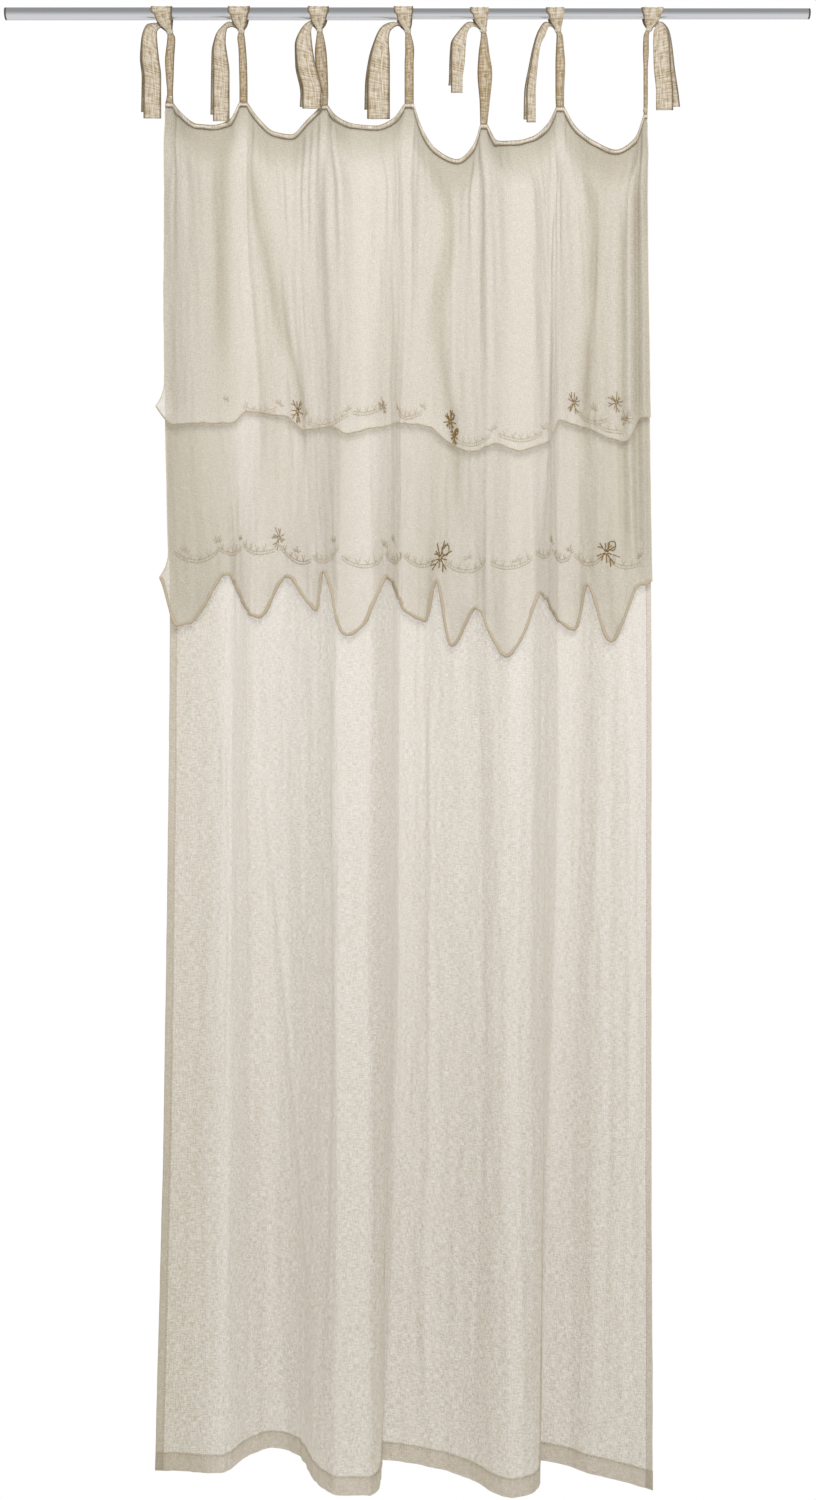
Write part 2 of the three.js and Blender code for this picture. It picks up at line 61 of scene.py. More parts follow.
camera_data = bpy.data.cameras.new("camera")
camera_data.sensor_width = FILM_WIDTH
camera_data.lens = FILM_WIDTH * CAMERA_DISTANCE / PICTURE_HEIGHT
camera = placed("camera", camera_data)
camera.location = (CAMERA_ASIDE, -CAMERA_DISTANCE, CAMERA_HEIGHT)
camera.rotation_euler = (math.pi / 2, 0, 0)
bpy.context.scene.camera = camera


# Studio. A pale floor under the hem, a white surround that is greyer overhead, and one large soft
# light high in front, a little to the right. The floor and the surround are plain white to the camera.
FLOOR_HEIGHT = -2.70
FLOOR_SIZE = 9.0
# How bright the surround is, from straight below (0) through the horizon (0.5) to overhead (1).
SURROUND_GREYS = ((0.0, 0.95), (0.2, 0.85), (0.30, 0.75), (0.44, 0.68), (0.5, 0.62), (0.58, 0.50),
                  (0.63, 0.44), (1.0, 0.44))
KEY_PLACE = (0.25, -2.8, 0.65)
KEY_AIM = (0.0, 0.0, -0.5)
KEY_SIZE = 2.0
KEY_POWER = 80.0
WHITE = (1.0, 1.0, 1.0, 1.0)
# A curtain of three sheer layers in folds is crossed many times by one line of sight.
SHEER_LAYERS_IN_LINE = 32


def join(tree, node, links):
    """Links into a node; another node given as a source stands for its first output."""
    for name, source in links.items():
        tree.links.new(source.outputs[0] if isinstance(source, bpy.types.Node) else source, node.inputs[name])


def add_node(tree, kind, settings=None, links=None):
    """One shader node with its settings and the links that come into it."""
    node = tree.nodes.new("ShaderNode" + kind)
    for name, value in (settings or {}).items():
        if isinstance(name, int) or name in node.inputs:
            node.inputs[name].default_value = value
        else:
            setattr(node, name, value)
    join(tree, node, links or {})
    return node


def linear(hex_colour):
    """An sRGB hex colour as linear red, green, blue and alpha."""
    channels = [int(hex_colour[i:i + 2], 16) / 255 for i in (1, 3, 5)]
    return [c / 12.92 if c <= 0.04045 else ((c + 0.055) / 1.055) ** 2.4 for c in channels] + [1.0]


def mesh_from(name, bm):
    """A mesh made from a finished edit mesh."""
    mesh = bpy.data.meshes.new(name)
    bm.to_mesh(mesh)
    bm.free()
    return mesh


bpy.context.scene.view_settings.view_transform = "Standard"
bpy.context.scene.cycles.transparent_max_bounces = SHEER_LAYERS_IN_LINE

surround = bpy.data.worlds.new("white surround")
bpy.context.scene.world = surround
surround.use_nodes = True
surround.node_tree.nodes.clear()
tree = surround.node_tree
direction = add_node(tree, "TexCoord")
upward = add_node(tree, "SeparateXYZ", links={0: direction.outputs["Generated"]})
height = add_node(tree, "MapRange", {"From Min": -1.0, "From Max": 1.0}, {"Value": upward.outputs["Z"]})
shade = add_node(tree, "ValToRGB", links={"Fac": height})
for place, _ in SURROUND_GREYS[1:-1]:
    shade.color_ramp.elements.new(place)
for stop, (_, grey) in zip(shade.color_ramp.elements, SURROUND_GREYS):
    stop.color = (grey, grey, grey, 1.0)
seen = add_node(tree, "LightPath")
white = add_node(tree, "Background", {"Color": WHITE})
lit = add_node(tree, "Background", links={"Color": shade.outputs["Color"]})
both = add_node(tree, "MixShader", links={0: seen.outputs["Is Camera Ray"], 1: lit, 2: white})
add_node(tree, "OutputWorld", links={"Surface": both})

key_data = bpy.data.lights.new("key light", "AREA")
key_data.size = KEY_SIZE
key_data.energy = KEY_POWER
key = placed("key light", key_data)
key.location = KEY_PLACE
key.rotation_euler = (Vector(KEY_AIM) - Vector(KEY_PLACE)).to_track_quat("-Z", "Y").to_euler()
key.visible_glossy = False

floor_bm = bmesh.new()
bmesh.ops.create_grid(floor_bm, x_segments=1, y_segments=1, size=FLOOR_SIZE / 2,
                      matrix=Matrix.Translation((0, 0, FLOOR_HEIGHT)))
floor = placed("floor", mesh_from("floor", floor_bm))
# White sweep: matt paint to the light, and plain white to the eye as in a cut-out product picture.
sweep = bpy.data.materials.new("white sweep")
sweep.use_nodes = True
tree = sweep.node_tree
tree.nodes.clear()
ray = add_node(tree, "LightPath")
paint = add_node(tree, "BsdfDiffuse", {"Color": linear("#deded9")})
glow = add_node(tree, "Emission", {"Color": WHITE})
both = add_node(tree, "MixShader", links={0: ray.outputs["Is Diffuse Ray"], 1: glow, 2: paint})
add_node(tree, "OutputMaterial", links={"Surface": both})
floor.data.materials.append(sweep)


# Curtain rod. Two drawn steel tubes with a satin finish, the narrow one sliding out of the wide one,
# and a moulded plastic cap pressed into each open end.
ROD_LENGTH = 1424
WIDE_TUBE = {"outside": 21, "bore": 18.6}
NARROW_TUBE = {"outside": 18, "bore": 15.6}
WIDE_TUBE_END = -9
TUBE_OVERLAP = 70
CAP_FACE = 3
CAP_PLUG = 14
FIT_GAP = 0.3
RIM_ROUND = 0.3
TURN_STEPS = 64
SHARP_CORNER = 40


def turned(name, outline):
    """A body turned round the rod's axis from a closed outline of (place along the rod, radius)."""
    bm = bmesh.new()
    corners = [bm.verts.new((along / 1000, 0, radius / 1000)) for along, radius in outline]
    sides = [bm.edges.new((a, b)) for a, b in zip(corners, corners[1:] + corners[:1])]
    bmesh.ops.spin(bm, geom=corners + sides, cent=(0, 0, 0), axis=(1, 0, 0), angle=2 * math.pi,
                   steps=TURN_STEPS, use_merge=True, use_duplicate=False)
    bmesh.ops.remove_doubles(bm, verts=bm.verts, dist=1e-6)
    bmesh.ops.dissolve_degenerate(bm, edges=bm.edges, dist=1e-6)
    bmesh.ops.recalc_face_normals(bm, faces=bm.faces)
    mesh = mesh_from(name, bm)
    mesh.shade_smooth()
    mesh.set_sharp_from_angle(angle=math.radians(SHARP_CORNER))
    return placed(name, mesh)


def tube_outline(tube, start, end):
    """The cut through a tube's wall from one end to the other, with its rims just broken."""
    inner, outer, rim = tube["bore"] / 2, tube["outside"] / 2, RIM_ROUND
    return [(start, inner + rim), (start, outer - rim), (start + rim, outer), (end - rim, outer),
            (end, outer - rim), (end, inner + rim), (end - rim, inner), (start + rim, inner)]


def cap_outline(tube, side):
    """Half of the cut through a cap: its plug inside the tube and its face over the tube's end."""
    plug, outer, rim = tube["bore"] / 2 - FIT_GAP, tube["outside"] / 2, RIM_ROUND
    end, face = ROD_LENGTH / 2, ROD_LENGTH / 2 - CAP_FACE + FIT_GAP
    inside = end - CAP_FACE - CAP_PLUG
    half = [(inside, 0), (inside, plug - rim), (inside + rim, plug), (face, plug), (face, outer),
            (end - rim, outer), (end, outer - rim), (end, 0)]
    return [(side * along, radius) for along, radius in half]


tubes_end = ROD_LENGTH / 2 - CAP_FACE
wide_tube = turned("wide_tube", tube_outline(WIDE_TUBE, -tubes_end, WIDE_TUBE_END))
narrow_tube = turned("narrow_tube", tube_outline(NARROW_TUBE, WIDE_TUBE_END - TUBE_OVERLAP, tubes_end))
cap_left = turned("cap_left", cap_outline(WIDE_TUBE, -1))
cap_right = turned("cap_right", cap_outline(NARROW_TUBE, 1))


def new_surface(name, settings):
    """A material with its shader set as given: back come the material, its nodes and that shader."""
    material = bpy.data.materials.new(name)
    material.use_nodes = True
    surface = material.node_tree.nodes["Principled BSDF"]
    for socket, value in settings.items():
        surface.inputs[socket].default_value = value
    return material, material.node_tree, surface


# Satin drawn steel: a grey metal whose gloss is drawn out across the rod by fine lengthwise lines.
steel_settings = {"Base Color": linear("#d0d1d4"), "Metallic": 1.0}
satin_steel, tree, surface = new_surface("satin drawn steel", steel_settings)
place = add_node(tree, "TexCoord")
# The drawing lines are 0.4 mm apart round the tube and run on for 60 mm.
drawn = add_node(tree, "Mapping", {"Scale": (16.0, 2500.0, 2500.0)}, {"Vector": place.outputs["Object"]})
lines = add_node(tree, "TexNoise", {"Scale": 1.0, "Detail": 2.0}, {"Vector": drawn})
gloss = add_node(tree, "MapRange", {"To Min": 0.26, "To Max": 0.40}, {"Value": lines})
relief = add_node(tree, "Bump", {"Strength": 0.12, "Distance": 0.0002}, {"Height": lines})
join(tree, surface, {"Roughness": gloss, "Normal": relief})
for tube, node in ((wide_tube, "rod_wide_tube"), (narrow_tube, "rod_narrow_tube")):
    tube.data.materials.append(satin_steel)
    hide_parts(node)
    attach(tube, "root")

# Moulded polypropylene: dark grey, half matt, with a very fine spark-eroded grain of 0.3 mm.
moulded_plastic, tree, surface = new_surface("moulded grey polypropylene", {"IOR": 1.49})
place = add_node(tree, "TexCoord")
grain = add_node(tree, "TexNoise", {"Scale": 3300.0, "Detail": 1.0}, {"Vector": place.outputs["Object"]})
tint = add_node(tree, "Mix", {"data_type": "RGBA", 6: linear("#454547"), 7: linear("#525254")},
                {0: grain})
gloss = add_node(tree, "MapRange", {"To Min": 0.42, "To Max": 0.58}, {"Value": grain})
relief = add_node(tree, "Bump", {"Strength": 0.2, "Distance": 0.0001}, {"Height": grain})
join(tree, surface, {"Base Color": tint.outputs[2], "Roughness": gloss, "Normal": relief})
for cap, node in ((cap_left, "rod_cap_left"), (cap_right, "rod_cap_right")):
    cap.data.materials.append(moulded_plastic)
    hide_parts(node)
    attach(cap, "root")


# Main panel. One length of sheer linen gauze, 1.4 m wide, gathered onto the heading and hanging in
# soft folds to the hem. Its side edges and its lower edge are turned to the back and stitched.
CLOTH_WIDTH = 1400
HEM_LEVEL = -2577
HEADING_STEP = 2.2
HANGING_STEP = 8.5
COLLAR_START = 22
COLLAR_END = 80
PEAK_CUT = 7
SIDE_HEM = 15
FOOT_HEM = 33
HEM_GAP = 1.4
PANEL_COLUMNS = 484
PANEL_ROWS = 168

# The levels of the folds: at the shoulders, behind the upper valance's edge, below the lower valance,
# half way down and at the hem. Then one row for each fold line: its cut, the distance along the flat
# cloth from the left edge, and (place across, distance forward of the rod's axis) at each level.
LEVELS = (-329, -719, -1073, -1745, HEM_LEVEL)
FOLD_LINES = [
    (0, (-429, 0), (-427, 0), (-420, 0), (-427, 0), (-446, 0)),
    (114, (-353, 30), (-343, 22), (-318, 30), (-322, 24), (-334, 14)),
    (217, (-294, 8), (-283, 12), (-287, -15), (-284, -38), (-278, -67)),
    (256, (-275, 0), (-258, -2), (-269, -30), (-252, -62), (-248, -92)),
    (320, (-233, -28), (-215, -24), (-218, -22), (-211, -45), (-197, -55)),
    (427, (-175, -16), (-160, -6), (-150, 25), (-149, 35), (-162, 45)),
    (505, (-118, 24), (-113, 36), (-117, 62), (-119, 85), (-115, 106)),
    (555, (-79, 36), (-72, 42), (-68, 60), (-71, 85), (-66, 106)),
    (603, (-41, 26), (-38, 18), (-38, 20), (-41, 38), (-50, 61)),
    (707, (1, -2), (-1, -26), (-10, -48), (-13, -48), (-47, -42)),
    (741, (21, -12), (19, -22), (12, -46), (8, -42), (-15, -34)),
    (816, (71, -24), (70, -14), (58, -20), (54, -12), (52, -2)),
    (893, (118, -8), (118, 10), (119, 20), (117, 32), (112, 45)),
    (956, (154, 20), (157, 32), (156, 55), (153, 76), (150, 95)),
    (990, (181, 36), (184, 44), (181, 68), (178, 90), (178, 113)),
    (1034, (211, 38), (216, 40), (215, 58), (213, 76), (216, 91)),
    (1083, (238, 20), (244, 12), (238, 20), (234, 32), (229, 45)),
    (1171, (274, -2), (274, -22), (279, -42), (267, -44), (237, -42)),
    (1217, (307, -18), (303, -28), (307, -36), (298, -32), (278, -22)),
    (1277, (343, -20), (338, -6), (341, 0), (335, 8), (321, 18)),
    (1352, (394, -4), (393, 10), (397, 28), (394, 42), (384, 57)),
    (1400, (422, 2), (425, 14), (426, 36), (423, 58), (422, 84)),
]

# The heading: (cut, across, up, half width) of each level peak that a tie is sewn to, and the four
# (across, up) points of each scallop that sags between two peaks, with how far it bows forward.
PEAKS = [(7, -421, -162, 7), (233, -290, -161, 7), (467, -146, -166, 5), (700, 3, -163, 8),
         (933, 135, -200, 6), (1167, 270, -169, 7), (1393, 421, -182, 3)]
SCALLOPS = [
    (((-399, -183), (-369, -208), (-341, -210), (-314, -197)), 24),
    (((-264, -185), (-237, -205), (-207, -210), (-178, -188)), -22),
    (((-125, -190), (-93, -209), (-56, -212), (-25, -194)), 26),
    (((24, -201), (51, -241), (88, -259), (118, -232)), -8),
    (((159, -234), (187, -239), (218, -232), (248, -202)), 28),
    (((298, -201), (331, -224), (370, -240), (403, -221)), -14),
]
BOW_SHARE = (0.5, 1, 1, 0.5)

# Soft creases that the whole curtain shares: how far each stands forward, how wide it is, and the
# (cut, up) points that it runs through.
CREASES = [
    (5.0, 12, ((233, -200), (238, -420), (246, -640), (252, -800))),
    (-5.0, 15, ((262, -235), (290, -400), (322, -560), (368, -700), (375, -800))),
    (3.5, 10, ((467, -200), (476, -420), (480, -620))),
    (4.0, 12, ((700, -205), (716, -420), (712, -620))),
    (-5.0, 16, ((770, -240), (822, -370), (790, -540), (832, -760), (850, -900))),
    (3.0, 9, ((933, -235), (934, -500), (930, -760), (928, -1100))),
    (4.5, 11, ((1163, -210), (1112, -430), (1080, -700), (1075, -900))),
    (4.0, 10, ((1180, -220), (1232, -420), (1246, -590))),
    (-5.0, 14, ((1215, -240), (1262, -380), (1240, -590), (1226, -760))),
    (-6.0, 22, ((172, -230), (160, -420), (150, -640))),
    (5.0, 7, ((1383, -240), (1386, -600), (1384, -1010))),
    (-6.5, 8, ((1366, -260), (1368, -600), (1366, -1000))),
    (5.5, 8, ((1346, -300), (1348, -620), (1350, -980))),
    (-5.0, 8, ((1326, -340), (1328, -620), (1330, -980))),
    (-1.5, 10, ((222, -1080), (228, -1500), (222, -2000))),
    (3.5, 12, ((257, -1300), (300, -1700), (352, -2050), (385, -2250))),
    (-3.0, 12, ((118, -1150), (126, -1700), (110, -2300))),
    (-3.5, 12, ((455, -1150), (460, -1700), (440, -2450))),
    (3.0, 10, ((792, -1150), (798, -1800), (786, -2450))),
    (-3.0, 12, ((905, -1200), (915, -1750), (900, -2400))),
    (3.0, 9, ((1006, -1180), (1000, -1700), (1012, -2450))),
    (-3.0, 10, ((1300, -1200), (1304, -1750), (1298, -2450))),
    (2.5, 8, ((1340, -1200), (1345, -1900), (1338, -2500))),
]


def smooth_at(places, heights, at):
    """Heights of the smooth curves through the given points, which never swing past them."""
    at = np.asarray(at, float)
    shape = at.shape + (np.shape(places)[-1],)
    places = np.broadcast_to(np.asarray(places, float), shape)
    heights = np.broadcast_to(np.asarray(heights, float), shape)
    rise = np.diff(heights) / np.diff(places)
    before, after = rise[..., :-1], rise[..., 1:]
    turns = before * after <= 0
    total = np.where(turns, 1.0, before + after)
    inner = np.where(turns, 0.0, 2 * before * after / total)
    slope = np.concatenate([rise[..., :1], inner, rise[..., -1:]], axis=-1)
    i = np.clip(np.sum(at[..., None] >= places, axis=-1) - 1, 0, shape[-1] - 2)[..., None]
    start, low, rate = (np.take_along_axis(t, i, -1)[..., 0] for t in (places, heights, slope))
    end, high, next_rate = (np.take_along_axis(t, i + 1, -1)[..., 0] for t in (places, heights, slope))
    t = np.clip((at - start) / (end - start), 0, 1)
    curve = low * (2 * t**3 - 3 * t**2 + 1) + high * (3 * t**2 - 2 * t**3)
    return curve + (end - start) * (rate * (t**3 - 2 * t**2 + t) + next_rate * (t**3 - t**2))


def smoothstep(value, low, high):
    """0 up to the low value, 1 from the high one on, and a smooth rise between them."""
    t = np.clip((np.asarray(value, float) - low) / (high - low), 0, 1)
    return t * t * (3 - 2 * t)


# The field of bumps is this wide and tall, and it begins 60 mm to the left of the cloth.
FIELD_WIDTH = 1600
FIELD_HEIGHT = 2800
FIELD_MARGIN = 60


def crumple(cut, up, wide, tall, seed):
    """Seeded smooth bumps between -1 and 1, each about so many millimetres wide and tall."""
    size = (int(FIELD_WIDTH / wide) + 3, int(FIELD_HEIGHT / tall) + 3)
    lattice = np.random.default_rng(seed).uniform(-1, 1, size)
    u, v = (np.asarray(cut, float) + FIELD_MARGIN) / wide, -np.asarray(up, float) / tall
    i, j = np.floor(u).astype(int), np.floor(v).astype(int)
    s, t = smoothstep(u - i, 0, 1), smoothstep(v - j, 0, 1)
    low = lattice[i, j] * (1 - s) + lattice[i + 1, j] * s
    high = lattice[i, j + 1] * (1 - s) + lattice[i + 1, j + 1] * s
    return low * (1 - t) + high * t


heading_points = []
for k, (cut, across, up, half) in enumerate(PEAKS):
    heading_points += [(cut - PEAK_CUT, across - half, up, 0), (cut + PEAK_CUT, across + half, up, 0)]
    if k < len(SCALLOPS):
        edge, bow = SCALLOPS[k]
        start, end = cut + PEAK_CUT, PEAKS[k + 1][0] - PEAK_CUT
        for step, (x, z) in enumerate(edge):
            share = (step + 1) / (len(edge) + 1)
            heading_points.append((start + share * (end - start), x, z, bow * BOW_SHARE[step]))
HEADING = np.array(heading_points, float).T
FOLD_CUTS = [row[0] for row in FOLD_LINES]


def heading_at(cut):
    """Where the top edge of the cloth is: across, up and forward, with a corner at each side of a peak."""
    cut = np.asarray(cut, float)
    places = [np.interp(cut, HEADING[0], row) for row in HEADING[1:]]
    for first in range(1, HEADING.shape[1] - 1, len(BOW_SHARE) + 2):
        span = slice(first, first + len(BOW_SHARE) + 2)
        inside = (cut > HEADING[0, first]) & (cut < HEADING[0, span][-1])
        for place, row in zip(places, HEADING[1:]):
            place[inside] = smooth_at(HEADING[0, span], row[span], cut[inside])
    return places


def layer_step(layer, drop):
    """How far a layer lies in front of the main panel, this far below the heading."""
    return layer * (HEADING_STEP + (HANGING_STEP - HEADING_STEP) * smoothstep(drop, COLLAR_START, COLLAR_END))


def hung(cut, up):
    """Where the bare folds put a point of the main panel: across, and forward of the rod's axis."""
    cut = np.clip(cut, 0, CLOTH_WIDTH)
    across, top, bow = heading_at(cut)
    drops = np.stack([-top, COLLAR_START - top] + [np.full_like(top, -level) for level in LEVELS], -1)
    sides, depths = ([smooth_at(FOLD_CUTS, [row[k][i] for row in FOLD_LINES], cut)
                      for k in range(1, len(LEVELS) + 1)] for i in (0, 1))
    x = smooth_at(drops, np.stack([across, across] + sides, -1), -up)
    return x, smooth_at(drops, np.stack([bow, bow] + depths, -1), -up), top - up


def crease_relief(cut, up):
    """The soft creases, each fading out at its two ends."""
    total = np.zeros_like(cut)
    for stand, wide, points in CREASES:
        cuts, ups = np.array(points, float).T
        line = smooth_at(-ups, cuts, -up)
        begun = smoothstep(-up, -ups[0] - 30, -ups[0] + 90)
        ended = smoothstep(-up, -ups[-1] - 110, -ups[-1] + 50)
        total += stand * begun * (1 - ended) * np.exp(-((cut - line) / wide) ** 2)
    return total


# The crinkles of washed linen, from lengthways to crossways: how far they stand, how wide and how long
# each is, and a seed. A layer's own crinkles lie on top of those that all layers share.
CRINKLES = ((1.3, 19, 170, 12), (0.7, 9, 60, 13), (0.7, 46, 26, 14))
OWN_CRINKLES = (0.5, 12, 110, 20)
WAVES = (4.0, 60, 700, 15)
# Gathers under the heading stand 1.4 mm out, and 2.2 mm more within 55 mm of a tie.
GATHERS = (11, 420, 11)
GATHER_STAND = 1.4
TIE_GATHER_STAND = 2.2
TIE_REACH = 55


def cloth_relief(cut, up, drop, layer):
    """Crinkles of the washed linen, gathers under the heading and creases, in millimetres forward."""
    near_tie = sum(np.exp(-((cut - peak[0]) / TIE_REACH) ** 2) for peak in PEAKS)
    gathers = (GATHER_STAND + TIE_GATHER_STAND * near_tie) * crumple(cut, up, *GATHERS)
    run_out = smoothstep(drop, 70 + 60 * near_tie, 240 + 120 * near_tie)
    gathers = gathers * smoothstep(drop, 6, 35) * (1 - run_out)
    waves = WAVES[0] * crumple(cut, up, *WAVES[1:]) * smoothstep(drop, 20, 120)
    own = OWN_CRINKLES[0] * crumple(cut, up, *OWN_CRINKLES[1:3], OWN_CRINKLES[3] + layer)
    crinkles = own + sum(stand * crumple(cut, up, *size) for stand, *size in CRINKLES)
    return gathers + waves + smoothstep(drop, 10, 85) * (crinkles + crease_relief(cut, up))


def on_cloth(layer, cut, up, lift=0.0, bottom=None):
    """Points of a layer of the curtain in millimetres, lifted off its face."""
    cut, up = np.broadcast_arrays(np.asarray(cut, float), np.asarray(up, float))
    x, out, drop = hung(cut, up)
    left_x, left_out, _ = hung(cut - 3, up)
    right_x, right_out, _ = hung(cut + 3, up)
    run, rise = right_x - left_x, right_out - left_out
    length = np.hypot(run, rise)
    stand = cloth_relief(np.clip(cut, 0, CLOTH_WIDTH), up, drop, layer) + lift
    out = out + layer_step(layer, drop) + stand * run / length
    x = x - stand * rise / length
    if bottom is not None:
        near = (1 - np.clip((up - bottom) / FLICK["drop"], 0, 1)) ** 2
        x = x - FLICK["across"] * (1 - smoothstep(cut, 0, FLICK["cut"])) * near
        out = out + FLICK["lift"] * near
    return np.stack([x, -out, up], -1)


def fold_steepness(points):
    """How steep a grid of cloth is: 0 where it lies flat and 1 on its steepest folds. It sets painted shade.
    """
    run = np.gradient(points, axis=0)
    return run[..., 1] ** 2 / np.maximum(run[..., 0] ** 2 + run[..., 1] ** 2, 1e-6)


def cloth_piece(name, sheets):
    """One object from grids of points: each sheet has points in mm, flat places in mm and a value that sets
    its tone; on the gauze and the binding that value is painted shade.
    """
    bm = bmesh.new()
    for points, _, _ in sheets:
        bmesh.ops.create_grid(bm, x_segments=points.shape[0] - 1, y_segments=points.shape[1] - 1, size=1)
    mesh = mesh_from(name, bm)
    in_rows = [[table.swapaxes(0, 1).reshape(-1, *table.shape[2:]) for table in sheet] for sheet in sheets]
    points, flat, value = (np.concatenate([sheet[k] for sheet in in_rows]) for k in range(3))
    mesh.vertices.foreach_set("co", (points / 1000).ravel())
    corner = np.empty(len(mesh.loops), int)
    mesh.loops.foreach_get("vertex_index", corner)
    mesh.uv_layers.new(name="cloth").data.foreach_set("uv", (flat[corner] / 1000).ravel())
    mesh.attributes.new("tone_and_painted_shade", "FLOAT", "POINT").data.foreach_set("value", value)
    mesh.update()
    mesh.shade_smooth()
    return placed(name, mesh)


# Painted shade on the panel: its cloth is drawn denser and darker on steep folds and towards the foot,
# less so in the hems, and then at places across it, as (cut, value): painted shade at the left edge and
# painted light from about 105 to 250 mm.
SHADE_ON_FOLDS = 0.5
SHADE_TOWARDS_FOOT = 0.4
IN_HEMS = 0.35
PANEL_PAINTED_SHADE = [(0, 0.6), (60, 0.5), (105, 0.1), (150, -0.4), (205, -0.3), (250, 0), (CLOTH_WIDTH, 0)]
# Columns and rows of the panel as (place, how far it is folded back), with its hems turned behind it.
side_turn = [(15, 1), (11, 1), (7, 1), (3, 1), (1, 1), (0, 0.5), (1, 0), (3, 0)]
columns = side_turn + [(c, 0) for c in np.linspace(6, CLOTH_WIDTH - 6, PANEL_COLUMNS)]
columns += [(CLOTH_WIDTH - c, back) for c, back in reversed(side_turn)]
foot_turn = [(FOOT_HEM, 1), (22, 1), (11, 1), (1, 1), (0, 0.5), (1, 0), (11, 0), (22, 0)]
row_shares = np.linspace(0, 1, PANEL_ROWS)
cut = np.array([c for c, _ in columns])[:, None]
side_back = np.array([b for _, b in columns])[:, None]
top = heading_at(np.clip(cut, 0, CLOTH_WIDTH))[1]
foot = np.array([HEM_LEVEL + r for r, _ in foot_turn])[None, :] + 0 * cut
body = (HEM_LEVEL + FOOT_HEM) + (top - HEM_LEVEL - FOOT_HEM) * row_shares[None, :]
up = np.concatenate([foot, body], axis=1)
foot_back = np.array([b for _, b in foot_turn] + [0] * len(row_shares))[None, :]
points = on_cloth(0, cut + 0 * up, up, lift=-HEM_GAP * (side_back + foot_back))
flat_across = np.where(side_back > 0.5, np.where(cut < 100, -cut, 2 * CLOTH_WIDTH - cut), cut) + 0 * up
flat_up = np.where(foot_back > 0.5, 2 * HEM_LEVEL - up, up)
in_hem = (np.minimum(cut, CLOTH_WIDTH - cut) < SIDE_HEM) | (up < HEM_LEVEL + FOOT_HEM)
# drawn holds the panel's painted shade.
drawn = SHADE_ON_FOLDS * fold_steepness(points) + SHADE_TOWARDS_FOOT * smoothstep(-up, 1100, 2300) - IN_HEMS * in_hem
drawn = drawn + np.interp(cut, *np.array(PANEL_PAINTED_SHADE).T)
panel = cloth_piece("panel_cloth", [(points, np.stack([flat_across, flat_up], -1), drawn)])


def threads(tree, flat, marks, detail):
    """Noise with so many marks in each metre of flat cloth, across it and along it."""
    scaled = add_node(tree, "Mapping", {"Scale": (*marks, 1.0)}, {"Vector": flat})
    return add_node(tree, "TexNoise", {"noise_dimensions": "2D", "Scale": 1.0, "Detail": detail},
                    {"Vector": scaled})


def linen_gauze(name, light_thread, dark_thread, shaded_thread, open_cover, close_cover):
    """Sheer washed linen: uneven slubby threads with gaps between them that let the light through."""
    material = bpy.data.materials.new(name)
    material.use_nodes = True
    tree = material.node_tree
    tree.nodes.clear()
    flat = add_node(tree, "UVMap", {"uv_map": "cloth"})
    # Single threads are 0.5 mm apart, too fine to show here, so they are drawn in bundles of 2.1 mm.
    warp = threads(tree, flat, (1000 / 2.1, 1000 / 11), 2.0)
    weft = threads(tree, flat, (1000 / 10, 1000 / 2.1), 2.0)
    clouds = threads(tree, flat, (1000 / 22, 1000 / 34), 1.0)
    woven = add_node(tree, "Math", {"operation": "ADD"}, {0: warp, 1: weft})
    mottled = add_node(tree, "Math", {"operation": "MULTIPLY_ADD", 1: 0.15}, {0: clouds, 2: woven})
    # The tone_and_painted_shade value is painted shade here: it draws the gauze denser and tints it towards
    # the shaded thread colour.
    tone_and_painted_shade = add_node(tree, "Attribute", {"attribute_name": "tone_and_painted_shade"})
    dense = add_node(tree, "MapRange",
                     {"From Min": 0.76, "From Max": 1.39, "To Min": open_cover, "To Max": close_cover},
                     {"Value": mottled})
    cover = add_node(tree, "Math", {"operation": "MULTIPLY_ADD", 1: 0.12, "use_clamp": True},
                     {0: tone_and_painted_shade.outputs["Fac"], 2: dense})
    spun = add_node(tree, "Mix", {"data_type": "RGBA", 6: linear(light_thread), 7: linear(dark_thread)},
                    {0: weft})
    tint = add_node(tree, "Mix", {"data_type": "RGBA", "clamp_factor": True, 7: linear(shaded_thread)},
                    {0: tone_and_painted_shade.outputs["Fac"], 6: spun.outputs[2]})
    relief = add_node(tree, "Bump", {"Strength": 0.5, "Distance": 0.0012}, {"Height": woven})
    front = add_node(tree, "BsdfPrincipled",
                     {"Roughness": 0.88, "IOR": 1.45, "Sheen Weight": 0.12, "Sheen Roughness": 0.5},
                     {"Base Color": tint.outputs[2], "Normal": relief})
    through = add_node(tree, "BsdfTranslucent",
                       links={"Color": tint.outputs[2], "Normal": relief})
    cloth = add_node(tree, "MixShader", {0: 0.35}, {1: front, 2: through})
    gaps = add_node(tree, "BsdfTransparent")
    sheer = add_node(tree, "MixShader", links={0: cover, 1: gaps, 2: cloth})
    add_node(tree, "OutputMaterial", links={"Surface": sheer})
    return material


# Undyed linen gauze: thin and open, so the white behind it shows through and lightens its beige.
panel_gauze = linen_gauze("undyed linen gauze", "#e7dfd3", "#d7ccbb", "#cdc3ac", 0.54, 0.84)
panel.data.materials.append(panel_gauze)
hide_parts("main_panel")
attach(panel, "root")


# Hem stitches. A row of small running stitches in linen thread holds down each turned edge of the
# main panel, near the inner edge of the hem.
HEM_STITCH = {"apart": 5.2, "long": 3.2, "thick": 0.55, "tone": 0.4}
STITCH_INSET = 2
FIRST_SIDE_STITCH = -215
STITCHES_AT_ONCE = 40
BLUNT_END = 1.6


